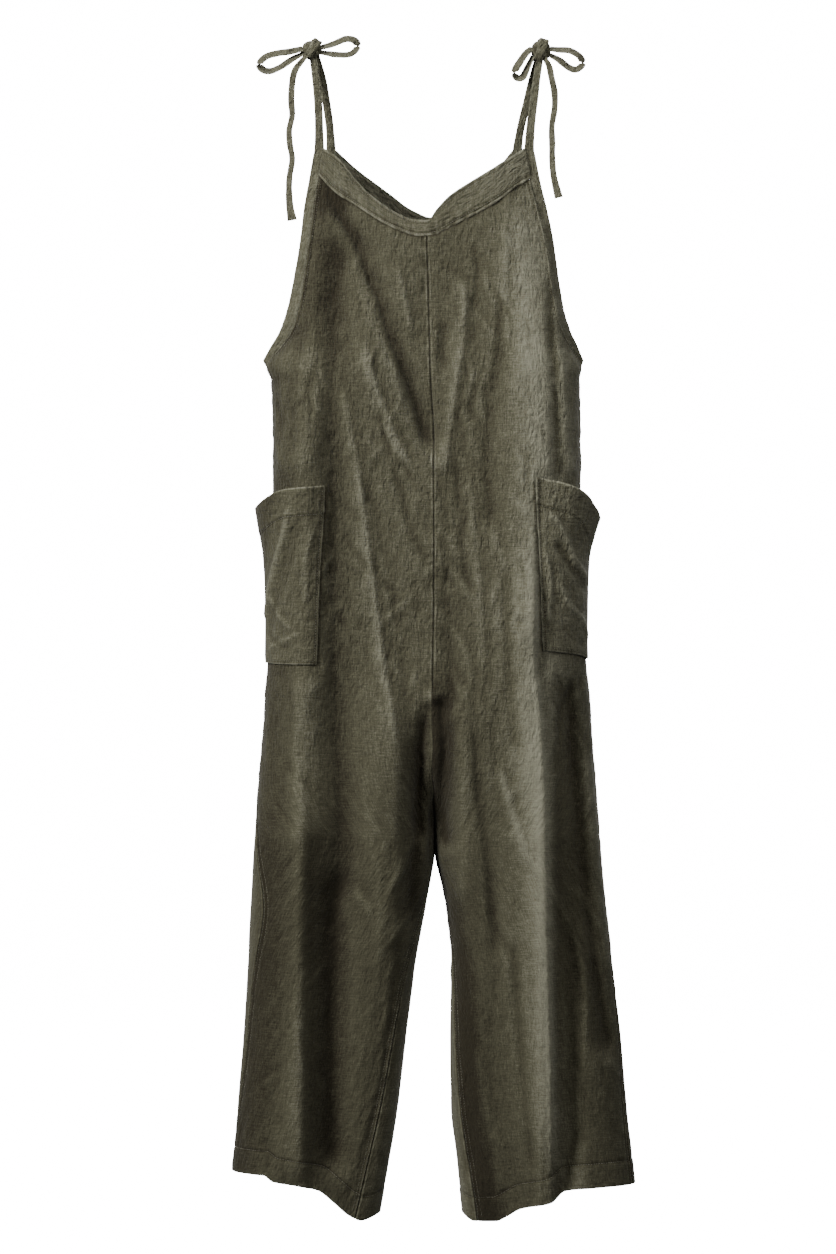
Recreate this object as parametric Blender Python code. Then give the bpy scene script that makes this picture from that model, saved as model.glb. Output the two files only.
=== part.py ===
"""Linen overalls that hang, open and filled out, from four straps tied in two bows."""
import math
from collections import namedtuple

import bmesh
import bpy
from mathutils import Vector

# Metres. x runs to the wearer's left, y to the wearer's back, z up.
# z = 0 is the underside of the two tied knots that hold the garment up.
CLOTH = 0.0016
BAND = 0.0020
BINDING = 0.0021
TIE = 0.0015
SEAM_GAP = 0.0003
RIGHT, LEFT = -1, 1
FRONT, BACK = -1, 1

# Cross-sections from the strap bases to the hems. right and left are the outer edges: the seam
# of the armhole binding down to z = -0.3776, then the side of the body and of each leg.
# right_in and left_in are the centre seam down to the crotch, then the inner face of each leg.
# front and back are how far the cloth stands from the middle plane.
Section = namedtuple("Section", "z right left right_in left_in front back")
SECTIONS = [
    Section(-0.1120, -0.1281, 0.1165, -0.0024, -0.0024, 0.030, 0.027),
    Section(-0.1500, -0.1345, 0.1238, -0.0024, -0.0024, 0.033, 0.030),
    Section(-0.1850, -0.1410, 0.1325, -0.0024, -0.0024, 0.036, 0.033),
    Section(-0.2220, -0.1464, 0.1413, -0.0024, -0.0024, 0.039, 0.036),
    Section(-0.2700, -0.1527, 0.1492, -0.0012, -0.0012, 0.043, 0.040),
    Section(-0.3100, -0.1590, 0.1555, -0.0002, -0.0002, 0.046, 0.043),
    Section(-0.3400, -0.1690, 0.1640, 0.0004, 0.0004, 0.049, 0.046),
    Section(-0.3580, -0.1825, 0.1740, 0.0010, 0.0010, 0.051, 0.048),
    Section(-0.3776, -0.1976, 0.1854, 0.0014, 0.0014, 0.053, 0.050),
    Section(-0.3950, -0.1915, 0.1830, 0.0020, 0.0020, 0.054, 0.052),
    Section(-0.4660, -0.1903, 0.1842, 0.0049, 0.0049, 0.057, 0.056),
    Section(-0.5392, -0.1903, 0.1848, 0.0056, 0.0056, 0.060, 0.060),
    Section(-0.6368, -0.1940, 0.1879, 0.0060, 0.0060, 0.063, 0.065),
    Section(-0.7344, -0.1964, 0.1915, 0.0048, 0.0048, 0.065, 0.068),
    Section(-0.8076, -0.2013, 0.1976, 0.0040, 0.0040, 0.066, 0.070),
    Section(-0.8600, -0.2055, 0.2012, 0.0044, 0.0044, 0.066, 0.070),
    Section(-0.9052, -0.2098, 0.2050, 0.0052, 0.0054, 0.065, 0.069),
    Section(-0.9450, -0.2125, 0.2075, 0.0058, 0.0068, 0.063, 0.067),
    Section(-0.9700, -0.2143, 0.2093, 0.0055, 0.0092, 0.062, 0.066),
    Section(-1.0272, -0.2172, 0.2148, -0.0024, 0.0195, 0.060, 0.064),
    Section(-1.1004, -0.2208, 0.2230, -0.0159, 0.0268, 0.058, 0.062),
    Section(-1.1980, -0.2269, 0.2342, -0.0281, 0.0256, 0.056, 0.060),
    Section(-1.2712, -0.2330, 0.2403, -0.0366, 0.0268, 0.055, 0.060),
    Section(-1.3542, -0.2391, 0.2495, -0.0500, 0.0345, 0.054, 0.060),
    Section(-1.4237, -0.2440, 0.2562, -0.0625, 0.0415, 0.053, 0.060),
]

# Free edge of the armhole binding and where its seam lies. rise is how much higher the free
# edge is than the seam beside it; seam_y and edge_y are their distances from the middle plane;
# back_in is how much nearer the centre the back armhole runs.
Armhole = namedtuple("Armhole", "z right left rise seam_y edge_y back_in")
ARMHOLES = [
    Armhole(-0.1120, -0.1397, 0.1281, 0.0000, 0.0120, 0.0105, 0.0140),
    Armhole(-0.1500, -0.1464, 0.1354, 0.0000, 0.0155, 0.0125, 0.0110),
    Armhole(-0.1850, -0.1525, 0.1437, 0.0005, 0.0185, 0.0140, 0.0085),
    Armhole(-0.2220, -0.1568, 0.1513, 0.0010, 0.0210, 0.0150, 0.0065),
    Armhole(-0.2700, -0.1647, 0.1580, 0.0015, 0.0240, 0.0160, 0.0040),
    Armhole(-0.3100, -0.1730, 0.1645, 0.0025, 0.0240, 0.0150, 0.0020),
    Armhole(-0.3400, -0.1830, 0.1735, 0.0045, 0.0185, 0.0110, 0.0007),
    Armhole(-0.3580, -0.1925, 0.1810, 0.0070, 0.0105, 0.0060, 0.0000),
    Armhole(-0.3776, -0.2025, 0.1885, 0.0092, 0.0000, 0.0000, 0.0000),
]

# Where the leg seams lie: how far round to the front they have turned from the outer and
# inner edge of the leg.
Turn = namedtuple("Turn", "z right_side left_side right_inseam left_inseam")
TURNS = [
    Turn(-0.8000, 0.000, 0.000, 0.000, 0.000),
    Turn(-0.9400, 0.022, 0.002, 0.000, 0.000),
    Turn(-1.0400, 0.046, 0.006, 0.022, 0.010),
    Turn(-1.1150, 0.034, 0.013, 0.036, 0.022),
    Turn(-1.2400, 0.024, 0.020, 0.046, 0.032),
    Turn(-1.3500, 0.010, 0.024, 0.054, 0.040),
    Turn(-1.4200, 0.008, 0.024, 0.058, 0.044),
]

# Edges across the garment, from the wearer's right to the left: height over x.
Edge = namedtuple("Edge", "x z")
FRONT_NECK = [
    Edge(-0.1281, -0.1120), Edge(-0.1086, -0.1263), Edge(-0.0891, -0.1501), Edge(-0.0744, -0.1659),
    Edge(-0.0561, -0.1806), Edge(-0.0366, -0.1928), Edge(-0.0180, -0.1998), Edge(-0.0024, -0.2012),
    Edge(0.0090, -0.1880), Edge(0.0244, -0.1720), Edge(0.0451, -0.1574), Edge(0.0756, -0.1385),
    Edge(0.1013, -0.1220), Edge(0.1165, -0.1120),
]
FRONT_SEAM = [
    Edge(-0.1335, -0.1440), Edge(-0.1171, -0.1623), Edge(-0.0927, -0.1789), Edge(-0.0720, -0.1928),
    Edge(-0.0525, -0.2050), Edge(-0.0317, -0.2142), Edge(-0.0122, -0.2196), Edge(0.0049, -0.2184),
    Edge(0.0207, -0.2111), Edge(0.0451, -0.1981), Edge(0.0647, -0.1879), Edge(0.0854, -0.1748),
    Edge(0.1057, -0.1586), Edge(0.1232, -0.1480),
]
BACK_NECK = [
    Edge(-0.1141, -0.1120), Edge(-0.0940, -0.1300), Edge(-0.0793, -0.1415), Edge(-0.0488, -0.1635),
    Edge(-0.0200, -0.1850), Edge(-0.0012, -0.1925), Edge(0.0200, -0.1840), Edge(0.0500, -0.1610),
    Edge(0.0800, -0.1380), Edge(0.1025, -0.1120),
]
BACK_SEAM = [
    Edge(-0.1230, -0.1490), Edge(-0.1000, -0.1660), Edge(-0.0793, -0.1800), Edge(-0.0488, -0.2000),
    Edge(-0.0200, -0.2200), Edge(-0.0012, -0.2270), Edge(0.0200, -0.2190), Edge(0.0500, -0.1980),
    Edge(0.0800, -0.1760), Edge(0.1130, -0.1500),
]
HEMS = {
    (RIGHT, FRONT): [
        Edge(-0.2440, -1.3550), Edge(-0.2001, -1.3566), Edge(-0.1891, -1.3640), Edge(-0.1610, -1.3690),
        Edge(-0.1354, -1.3745), Edge(-0.1147, -1.3908), Edge(-0.0964, -1.4067), Edge(-0.0817, -1.4130),
        Edge(-0.0600, -1.4060),
    ],
    (RIGHT, BACK): [
        Edge(-0.2440, -1.3550), Edge(-0.2001, -1.3630), Edge(-0.1647, -1.3757), Edge(-0.1281, -1.3894),
        Edge(-0.1025, -1.3969), Edge(-0.0817, -1.4030), Edge(-0.0600, -1.4060),
    ],
    (LEFT, FRONT): [
        Edge(0.0410, -1.4060), Edge(0.0537, -1.4130), Edge(0.0805, -1.4128), Edge(0.0939, -1.4067),
        Edge(0.1107, -1.3970), Edge(0.1488, -1.3884), Edge(0.1647, -1.3757), Edge(0.2001, -1.3725),
        Edge(0.2500, -1.3700),
    ],
    (LEFT, BACK): [
        Edge(0.0410, -1.4060), Edge(0.0805, -1.4042), Edge(0.1147, -1.4079), Edge(0.1305, -1.4054),
        Edge(0.1598, -1.3860), Edge(0.1806, -1.3772), Edge(0.2500, -1.3700),
    ],
}

# The largest folds: ridges stand out from the face, valleys (minus) go in.
Fold = namedtuple("Fold", "name height half_width path")
FRONT_FOLDS = [
    Fold("diagonal_valley", -0.0060, 0.016,
         [(-0.1147, -0.175), (-0.0854, -0.222), (-0.0671, -0.276), (-0.0451, -0.338), (-0.0220, -0.392),
          (0.0000, -0.470)]),
    Fold("right_ridge", 0.0055, 0.016,
         [(-0.1480, -0.235), (-0.1500, -0.340), (-0.1480, -0.500), (-0.1500, -0.720)]),
    Fold("right_valley", -0.0060, 0.016,
         [(-0.1250, -0.225), (-0.1240, -0.340), (-0.1220, -0.520), (-0.1220, -0.780), (-0.1160, -0.930),
          (-0.1270, -1.060), (-0.1310, -1.200), (-0.1310, -1.355)]),
    Fold("breast_ridge", 0.0050, 0.014,
         [(-0.1020, -0.400), (-0.0878, -0.490), (-0.0750, -0.600), (-0.0630, -0.690), (-0.0430, -0.810)]),
    Fold("left_ridge", 0.0075, 0.015,
         [(0.1120, -0.175), (0.1208, -0.310), (0.1257, -0.490), (0.1290, -0.670), (0.1320, -0.760),
          (0.1390, -0.900), (0.1420, -1.130), (0.1540, -1.355)]),
    Fold("left_valley", -0.0060, 0.013,
         [(0.1440, -0.290), (0.1480, -0.490), (0.1520, -0.670), (0.1590, -0.880), (0.1740, -1.060),
          (0.1880, -1.220)]),
    Fold("waist_valley", -0.0040, 0.018,
         [(-0.0560, -0.470), (-0.0280, -0.570), (-0.0050, -0.640)]),
    Fold("right_leg_ridge", 0.0060, 0.014,
         [(-0.1560, -0.970), (-0.1580, -1.120), (-0.1580, -1.350)]),
    Fold("right_leg_inner_ridge", 0.0045, 0.013,
         [(-0.0200, -1.060), (-0.0340, -1.190), (-0.0440, -1.290)]),
    Fold("left_leg_streak", 0.0035, 0.014,
         [(0.0620, -1.230), (0.0780, -1.330), (0.0866, -1.390)]),
    Fold("crotch_right_valley", -0.0050, 0.012,
         [(-0.0060, -0.780), (-0.0170, -0.850), (-0.0200, -0.910), (-0.0210, -0.960)]),
    Fold("crotch_left_valley", -0.0045, 0.012,
         [(0.0190, -0.770), (0.0200, -0.840), (0.0220, -0.920)]),
]
BACK_FOLDS = [
    Fold("right_ridge", 0.0060, 0.016,
         [(-0.1330, -0.220), (-0.1380, -0.400), (-0.1320, -0.650), (-0.1440, -0.900), (-0.1600, -1.200),
          (-0.1640, -1.370)]),
    Fold("right_valley", -0.0050, 0.016,
         [(-0.1010, -0.240), (-0.1050, -0.470), (-0.0990, -0.720), (-0.1120, -1.000), (-0.1220, -1.390)]),
    Fold("diagonal_valley", -0.0050, 0.017,
         [(0.0930, -0.220), (0.0650, -0.330), (0.0360, -0.430)]),
    Fold("left_ridge", 0.0060, 0.015,
         [(0.1240, -0.230), (0.1300, -0.450), (0.1240, -0.700), (0.1360, -0.980), (0.1500, -1.370)]),
    Fold("left_valley", -0.0050, 0.015,
         [(0.0960, -0.300), (0.0960, -0.560), (0.0900, -0.800), (0.1040, -1.080), (0.1100, -1.395)]),
    Fold("seat_ridge", 0.0045, 0.018,
         [(-0.0620, -0.560), (-0.0560, -0.680), (-0.0620, -0.820)]),
]

# Crotch: the centre seams leave the front and back at the first height and meet at the second.
RISE_TOP, CROTCH = -0.795, -0.945
UNDERARM = -0.3776
PANEL_TOP, PANEL_FOOT = -0.2196, -1.3900
HEM_EASE_FROM = -1.150
ROUNDNESS = 2.6
POCKET_CALM = 0.80
# Heights of the rows of the four panels at the centre seam.
ROWS = [
    -0.2196, -0.2450, -0.2720, -0.3000, -0.3240, -0.3440, -0.3620, -0.3776, -0.4000, -0.4350,
    -0.4750, -0.5150, -0.5550, -0.6000, -0.6450, -0.6900, -0.7350, -0.7720, -0.8050, -0.8350,
    -0.8620, -0.8860, -0.9070, -0.9270, -0.9450, -0.9680, -0.9980, -1.0350, -1.0800, -1.1300,
    -1.1850, -1.2400, -1.2950, -1.3450, -1.3900,
]
FRONT_COLUMNS, BACK_COLUMNS = 19, 14


def smooth(value):
    """0 below 0, 1 above 1, eased between."""
    value = min(1.0, max(0.0, value))
    return value * value * (3.0 - 2.0 * value)


def eased(xs, ys, x):
    """Value at x on the smooth, non-overshooting curve through the points, with xs rising."""
    if x <= xs[0]:
        return ys[0]
    if x >= xs[-1]:
        return ys[-1]
    i = 0
    while x > xs[i + 1]:
        i += 1
    slopes = [(ys[j + 1] - ys[j]) / (xs[j + 1] - xs[j]) for j in range(len(xs) - 1)]

    def tangent(j):
        if j == 0 or j == len(xs) - 1:
            return slopes[min(j, len(slopes) - 1)]
        before, after = slopes[j - 1], slopes[j]
        if before * after <= 0.0:
            return 0.0
        return 2.0 * before * after / (before + after)

    span = xs[i + 1] - xs[i]
    t = (x - xs[i]) / span
    return (ys[i] * (1 + 2 * t) * (1 - t) ** 2 + tangent(i) * span * t * (1 - t) ** 2
            + ys[i + 1] * t * t * (3 - 2 * t) + tangent(i + 1) * span * t * t * (t - 1))


def at_height(table, column, z):
    """Value of a named column at height z; the table's rows run downwards."""
    rows = table[::-1]
    return eased([r.z for r in rows], [getattr(r, column) for r in rows], z)


def edge_height(edge, x):
    return eased([e.x for e in edge], [e.z for e in edge], x)


def named(side):
    return "right" if side == RIGHT else "left"


def pocket_share(x, z):
    """1 under the pockets, where the cloth lies calmer, easing to 0 round them."""
    return smooth((abs(x) - 0.113) / 0.016) * smooth((-0.480 - z) / 0.035) * smooth((z + 0.775) / 0.035)


def along_path(path, z):
    """x of a fold's path at height z, and how far in from its ends z lies."""
    zs = [p[1] for p in path][::-1]
    xs = [p[0] for p in path][::-1]
    into = min(zs[-1] - z, z - zs[0])
    return eased(zs, xs, z), into


def fold_height(folds, x, z):
    total = 0.0
    for fold in folds:
        middle, into = along_path(fold.path, z)
        fade = smooth((into + 0.030) / 0.060)
        away = abs(x - middle) / fold.half_width
        if fade > 0.0 and away < 2.2:
            total += fold.height * fade * math.exp(-away * away)
    return total * (1.0 - POCKET_CALM * pocket_share(x, z))


RING_CACHE = {}
STEPS = 40


def measured(points):
    """The points with the length of line up to each."""
    lengths = [0.0]
    for a, b in zip(points, points[1:]):
        lengths.append(lengths[-1] + math.hypot(b[0] - a[0], b[1] - a[1]))
    return points, lengths


def point_on(line, length):
    points, lengths = line
    length = min(max(length, 0.0), lengths[-1])
    low, high = 0, len(lengths) - 1
    while high - low > 1:
        mid = (low + high) // 2
        if lengths[mid] <= length:
            low = mid
        else:
            high = mid
    span = lengths[high] - lengths[low]
    t = (length - lengths[low]) / span if span > 0 else 0.0
    a, b = points[low], points[high]
    return a[0] + (b[0] - a[0]) * t, a[1] + (b[1] - a[1]) * t


def torso_line(side, z):
    """Half the body at height z, from the centre front round the side to the centre back."""
    inner = at_height(SECTIONS, named(side) + "_in", z) + side * SEAM_GAP / 2
    outer = at_height(SECTIONS, named(side), z)
    seam_y = at_height(ARMHOLES, "seam_y", z) if z > UNDERARM else 0.0
    back_in = at_height(ARMHOLES, "back_in", z) if z > UNDERARM else 0.0
    closing = smooth((-0.250 - z) / 0.150)
    power = 1.0 + (1.0 / ROUNDNESS - 1.0) * closing
    halves = []
    for face, depth in ((FRONT, at_height(SECTIONS, "front", z)), (BACK, at_height(SECTIONS, "back", z))):
        reach = outer - (side * back_in if face == BACK else 0.0)
        half = []
        for i in range(STEPS + 1):
            turn = math.pi / 2 * i / STEPS
            across = math.sin(turn) ** (2 / ROUNDNESS)
            out = max(0.0, math.cos(turn)) ** (2 * power)
            half.append((inner + (reach - inner) * across, face * (seam_y + (depth - seam_y) * out)))
        halves.append(half)
    return halves


def leg_line(side, z):
    """A whole leg at height z, from its inner edge by the front and the outer edge to the back."""
    inner = at_height(SECTIONS, named(side) + "_in", z) + side * SEAM_GAP / 2
    outer = at_height(SECTIONS, named(side), z)
    front = at_height(SECTIONS, "front", z)
    back = at_height(SECTIONS, "back", z)
    middle, half = (inner + outer) / 2, (outer - inner) / 2
    points = []
    for i in range(4 * STEPS + 1):
        turn = 2 * math.pi * i / (4 * STEPS)
        c, s = math.cos(turn), math.sin(turn)
        across = -math.copysign(abs(c) ** (2 / ROUNDNESS), c)
        out = -math.copysign(abs(s) ** (2 / ROUNDNESS), s)
        points.append((middle + half * across, out * (front if s > 0 else back)))
    return points


def lines_at(side, z):
    key = (side, round(z, 6))
    if key not in RING_CACHE:
        torso = [measured(half) for half in torso_line(side, z)] if z > CROTCH else None
        leg = measured(leg_line(side, z)) if z < RISE_TOP else None
        RING_CACHE[key] = (torso, leg)
    return RING_CACHE[key]


def flat_point(side, face, u, z):
    """Point of the unfolded skin: u = 0 at the centre seam or inseam, 1 at the side or binding."""
    torso, leg = lines_at(side, z)
    blend = min(1.0, max(0.0, (RISE_TOP - z) / (RISE_TOP - CROTCH))) ** 2
    tx = ty = lx = ly = 0.0
    if torso:
        half = torso[0] if face == FRONT else torso[1]
        tx, ty = point_on(half, u * half[1][-1])
    if leg:
        total = leg[1][-1]
        side_at = leg[1][2 * STEPS] - at_height(TURNS, named(side) + "_side", z)
        inseam = at_height(TURNS, named(side) + "_inseam", z)
        if face == FRONT:
            length = inseam + u * (side_at - inseam)
        else:
            length = total + inseam - u * (total + inseam - side_at)
            if length > total:
                length -= total
        lx, ly = point_on(leg, length)
    if not torso:
        return lx, ly
    if not leg:
        return tx, ty
    return tx + (lx - tx) * blend, ty + (ly - ty) * blend


def skin(side, face, u, z):
    """Point on the outside of the cloth."""
    x, y = flat_point(side, face, u, z)
    if y < 0:
        y -= fold_height(FRONT_FOLDS, x, z) * smooth((-y - 0.004) / 0.030)
    else:
        y += fold_height(BACK_FOLDS, x, z) * smooth((y - 0.004) / 0.030)
    return Vector((x, y, z))


def skin_normal(side, face, u, z):
    low, high = max(0.0, u - 0.012), min(1.0, u + 0.012)
    across = skin(side, face, high, z) - skin(side, face, low, z)
    upward = skin(side, face, u, z + 0.004) - skin(side, face, u, z - 0.004)
    return (across.cross(upward) * (side if face == FRONT else -side)).normalized()


def girth(side, face, z):
    """Length of the skin's line across one panel at height z."""
    points = [skin(side, face, i / 24, z) for i in range(25)]
    return sum((b - a).length for a, b in zip(points, points[1:]))


def solve_height(side, face, u, start, edge_of):
    """Height at which column u meets an edge given as height over x and y."""
    z = start
    for _ in range(12):
        p = flat_point(side, face, u, z)
        z = edge_of(p[0], p[1])
    return z


def seam_height(side, face, u):
    edge = FRONT_SEAM if face == FRONT else BACK_SEAM
    return solve_height(side, face, u, -0.19, lambda x, y: edge_height(edge, x))


def neck_height(side, face, u):
    edge = FRONT_NECK if face == FRONT else BACK_NECK
    return solve_height(side, face, u, -0.16, lambda x, y: edge_height(edge, x))


def hem_height(side, face, u):
    def of(x, y):
        share = smooth((y + 0.010) / 0.020)
        front = edge_height(HEMS[side, FRONT], x)
        back = edge_height(HEMS[side, BACK], x)
        return front + (back - front) * share
    return solve_height(side, face, u, -1.385, of)


def row_height(top, foot, height):
    """Height of a row in a column whose top and foot lie at the given heights."""
    ease_top = max(0.0, (height - UNDERARM) / (PANEL_TOP - UNDERARM))
    ease_foot = max(0.0, (HEM_EASE_FROM - height) / (HEM_EASE_FROM - PANEL_FOOT))
    return height + ease_top * (top - PANEL_TOP) + ease_foot ** 1.5 * (foot - PANEL_FOOT)


def column_spots(columns, length):
    """Columns from the centre seam to the side, half a seam gap in from each."""
    trim = SEAM_GAP / 2 / length
    spots = []
    for i in range(columns + 1):
        u = i / columns
        spots.append(min(1.0 - trim, max(trim, u)))
    return spots


def solid(name, outer, inner, collection, material, loop=False):
    """Closed body between two matching grids of points."""
    rows, columns = len(outer), len(outer[0])
    bm = bmesh.new()
    top = [[bm.verts.new(p) for p in row] for row in outer]
    under = [[bm.verts.new(p) for p in row] for row in inner]
    for r in range(rows - 1):
        for c in range(columns - 1):
            bm.faces.new((top[r][c], top[r][c + 1], top[r + 1][c + 1], top[r + 1][c]))
            bm.faces.new((under[r][c], under[r + 1][c], under[r + 1][c + 1], under[r][c + 1]))
    for c in range(columns - 1):
        bm.faces.new((top[0][c], under[0][c], under[0][c + 1], top[0][c + 1]))
        bm.faces.new((top[-1][c], top[-1][c + 1], under[-1][c + 1], under[-1][c]))
    for r in range(rows - 1):
        bm.faces.new((top[r][0], top[r + 1][0], under[r + 1][0], under[r][0]))
        bm.faces.new((top[r][-1], under[r][-1], under[r + 1][-1], top[r + 1][-1]))
    bmesh.ops.recalc_face_normals(bm, faces=bm.faces)
    mesh = bpy.data.meshes.new(name)
    bm.to_mesh(mesh)
    bm.free()
    item = bpy.data.objects.new(name, mesh)
    item.data.materials.append(material)
    collection.objects.link(item)
    return item


def linen(name, colour):
    material = bpy.data.materials.new(name)
    material.use_nodes = True
    shader = material.node_tree.nodes["Principled BSDF"]
    shader.inputs["Base Color"].default_value = (*colour, 1.0)
    shader.inputs["Roughness"].default_value = 0.95
    return material


def panel(name, side, face, collection, material):
    columns = FRONT_COLUMNS if face == FRONT else BACK_COLUMNS
    outer, inner = [], []
    for r, height in enumerate(ROWS):
        row, under = [], []
        spots = column_spots(columns, girth(side, face, height))
        for u in spots:
            top = seam_height(side, face, u)
            foot = hem_height(side, face, u)
            z = row_height(top, foot, height)
            if r == 0:
                z -= SEAM_GAP / 2
            point = skin(side, face, u, z)
            row.append(point)
            under.append(point - skin_normal(side, face, u, z) * CLOTH)
        outer.append(row)
        inner.append(under)
    return solid(name, outer, inner, collection, material)


def neck_band(name, face, collection, material):
    """Band from one binding across to the other, on the line of the panels' skin."""
    columns = FRONT_COLUMNS if face == FRONT else BACK_COLUMNS
    across = []
    for side in (RIGHT, LEFT):
        spots = column_spots(columns, girth(side, face, -0.190))
        pairs = [(side, u) for u in spots]
        across += pairs[:0:-1] if side == RIGHT else pairs[1:]
    outer, inner = [], []
    for share in (0.0, 0.5, 1.0):
        row, under = [], []
        for side, u in across:
            seam = seam_height(side, face, u) + SEAM_GAP / 2
            neck = neck_height(side, face, u)
            z = seam + (neck - seam) * share
            normal = skin_normal(side, face, u, z)
            point = skin(side, face, u, z)
            row.append(point)
            under.append(point - normal * BAND)
        outer.append(row)
        inner.append(under)
    return solid(name, outer, inner, collection, material)


# Straps: centre line from the knot down to the strap base.
Strap = namedtuple("Strap", "x y z half_width")
STRAPS = {
    (RIGHT, FRONT): [
        Strap(-0.1412, -0.0035, 0.0002, 0.0045), Strap(-0.1385, -0.0050, -0.0200, 0.0048),
        Strap(-0.1362, -0.0065, -0.0400, 0.0050), Strap(-0.1345, -0.0085, -0.0650, 0.0050),
        Strap(-0.1338, -0.0100, -0.0900, 0.0052),
    ],
    (RIGHT, BACK): [
        Strap(-0.1370, 0.0035, 0.0002, 0.0045), Strap(-0.1300, 0.0050, -0.0250, 0.0048),
        Strap(-0.1262, 0.0070, -0.0480, 0.0050), Strap(-0.1225, 0.0090, -0.0720, 0.0050),
        Strap(-0.1205, 0.0100, -0.0920, 0.0050),
    ],
    (LEFT, FRONT): [
        Strap(0.1345, -0.0035, -0.0040, 0.0045), Strap(0.1312, -0.0050, -0.0250, 0.0048),
        Strap(0.1285, -0.0065, -0.0480, 0.0050), Strap(0.1255, -0.0085, -0.0700, 0.0052),
        Strap(0.1232, -0.0100, -0.0920, 0.0055),
    ],
    (LEFT, BACK): [
        Strap(0.1320, 0.0035, -0.0040, 0.0045), Strap(0.1255, 0.0055, -0.0280, 0.0048),
        Strap(0.1200, 0.0075, -0.0520, 0.0050), Strap(0.1140, 0.0090, -0.0760, 0.0050),
        Strap(0.1105, 0.0100, -0.0930, 0.0050),
    ],
}


def binding_spots(side, face):
    """Pairs of seam and free-edge points with their normals, from the strap base to the underarm."""
    heights = [neck_height(side, face, 1.0)]
    seam = seam_height(side, face, 1.0)
    heights.append((heights[0] + seam) / 2)
    foot = hem_height(side, face, 1.0)
    heights += [row_height(seam, foot, h) for h in ROWS if h > UNDERARM + 0.001]
    spots = []
    for z in heights:
        seam_point = skin(side, face, 1.0, z)
        seam_normal = skin_normal(side, face, 1.0, z)
        z_edge = z + at_height(ARMHOLES, "rise", z)
        x_edge = at_height(ARMHOLES, named(side), z)
        if face == BACK:
            x_edge -= side * at_height(ARMHOLES, "back_in", z)
        edge_point = Vector((x_edge, face * at_height(ARMHOLES, "edge_y", z), z_edge))
        spots.append((seam_point, seam_normal, edge_point))
    return spots


def binding(name, side, collection, material):
    """One strip: front strap, round the armhole, back strap."""
    runs = []
    for face in (FRONT, BACK):
        spots = []
        for strap in STRAPS[side, face]:
            half = Vector((side * strap.half_width, 0, 0))
            middle = Vector((strap.x, strap.y, strap.z))
            spots.append((middle - half, Vector((0, face, 0)), middle + half))
        spots += binding_spots(side, face)
        runs.append(spots)
    underarm = skin(side, FRONT, 1.0, UNDERARM)
    top = Vector((at_height(ARMHOLES, named(side), UNDERARM), 0.0,
                  UNDERARM + at_height(ARMHOLES, "rise", UNDERARM)))
    underarm.y = 0.0
    middle = [(underarm, Vector((side, 0, 0)), top)]
    stations = runs[0] + middle + runs[1][::-1]
    outer, inner = [], []
    for i, (seam, normal, edge) in enumerate(stations):
        before = stations[max(0, i - 1)][2]
        after = stations[min(len(stations) - 1, i + 1)][2]
        width = (edge - seam).normalized()
        edge_normal = width.cross(after - before).normalized()
        if edge_normal.dot(normal) < 0:
            edge_normal = -edge_normal
        start = seam + width * (SEAM_GAP / 2)
        centre = (start + edge) / 2
        centre_normal = (normal + edge_normal).normalized()
        outer.append([start, centre, edge])
        inner.append([start - normal * BINDING, centre - centre_normal * BINDING,
                      edge - edge_normal * BINDING])
    return solid(name, outer, inner, collection, material)


# Patch pockets: how far each reaches round from the side seam, its mouth and foot, and how far
# it stands off the body beside the seam.
Gape = namedtuple("Gape", "share right left")
POCKET_SPOTS = 22
POCKET_SEAT = 0.0006
POCKET_CROWN = 0.0009
POCKET_REACH = {RIGHT: (-0.088, 0.078), LEFT: (-0.082, 0.076)}
Mouth = namedtuple("Mouth", "along right_z left_z right_foot left_foot")
MOUTHS = [
    Mouth(0.00, -0.5240, -0.5130, -0.7390, -0.7220),
    Mouth(0.25, -0.5290, -0.5250, -0.7385, -0.7260),
    Mouth(0.50, -0.5500, -0.5620, -0.7370, -0.7320),
    Mouth(0.75, -0.5330, -0.5360, -0.7380, -0.7320),
    Mouth(1.00, -0.5250, -0.5220, -0.7390, -0.7300),
]
GAPES = [
    Gape(0.00, 0.0190, 0.0205),
    Gape(0.12, 0.0140, 0.0120),
    Gape(0.30, 0.0065, 0.0045),
    Gape(0.55, 0.0022, 0.0020),
    Gape(0.80, 0.0006, 0.0008),
    Gape(1.00, 0.0000, 0.0000),
]


def across_pocket(column, along):
    return eased([m.along for m in MOUTHS], [getattr(m, column) for m in MOUTHS], along)


def pocket(name, side, collection, material):
    start, end = POCKET_REACH[side]
    outer, inner = [], []
    rows = [0.0, 0.08, 0.17, 0.28, 0.40, 0.53, 0.66, 0.80, 0.92, 1.0]
    for share in rows:
        row, under = [], []
        for i in range(POCKET_SPOTS + 1):
            along = i / POCKET_SPOTS
            mouth = across_pocket(named(side) + "_z", along)
            foot = across_pocket(named(side) + "_foot", along)
            z = mouth + (foot - mouth) * share
            around = start + (end - start) * along
            face = FRONT if around < 0 else BACK
            u = 1.0 - abs(around) / girth(side, face, z)
            gape = eased([g.share for g in GAPES], [getattr(g, named(side)) for g in GAPES], share)
            bulge = math.sin(math.pi * along)
            stand = gape * bulge ** 1.5 + POCKET_CROWN * bulge
            normal = skin_normal(side, face, u, z)
            point = skin(side, face, u, z) + normal * (POCKET_SEAT + CLOTH + stand)
            row.append(point)
            under.append(point - normal * CLOTH)
        outer.append(row)
        inner.append(under)
    return solid(name, outer, inner, collection, material)


# Knots: the tied lump at the top of each pair of straps.
LOOP_SEAT = 0.0008
Knot = namedtuple("Knot", "x z half_x half_y half_z")
KNOTS = {
    RIGHT: Knot(-0.1427, 0.0110, 0.0120, 0.0085, 0.0105),
    LEFT: Knot(0.1366, 0.0088, 0.0118, 0.0085, 0.0125),
}

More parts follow.
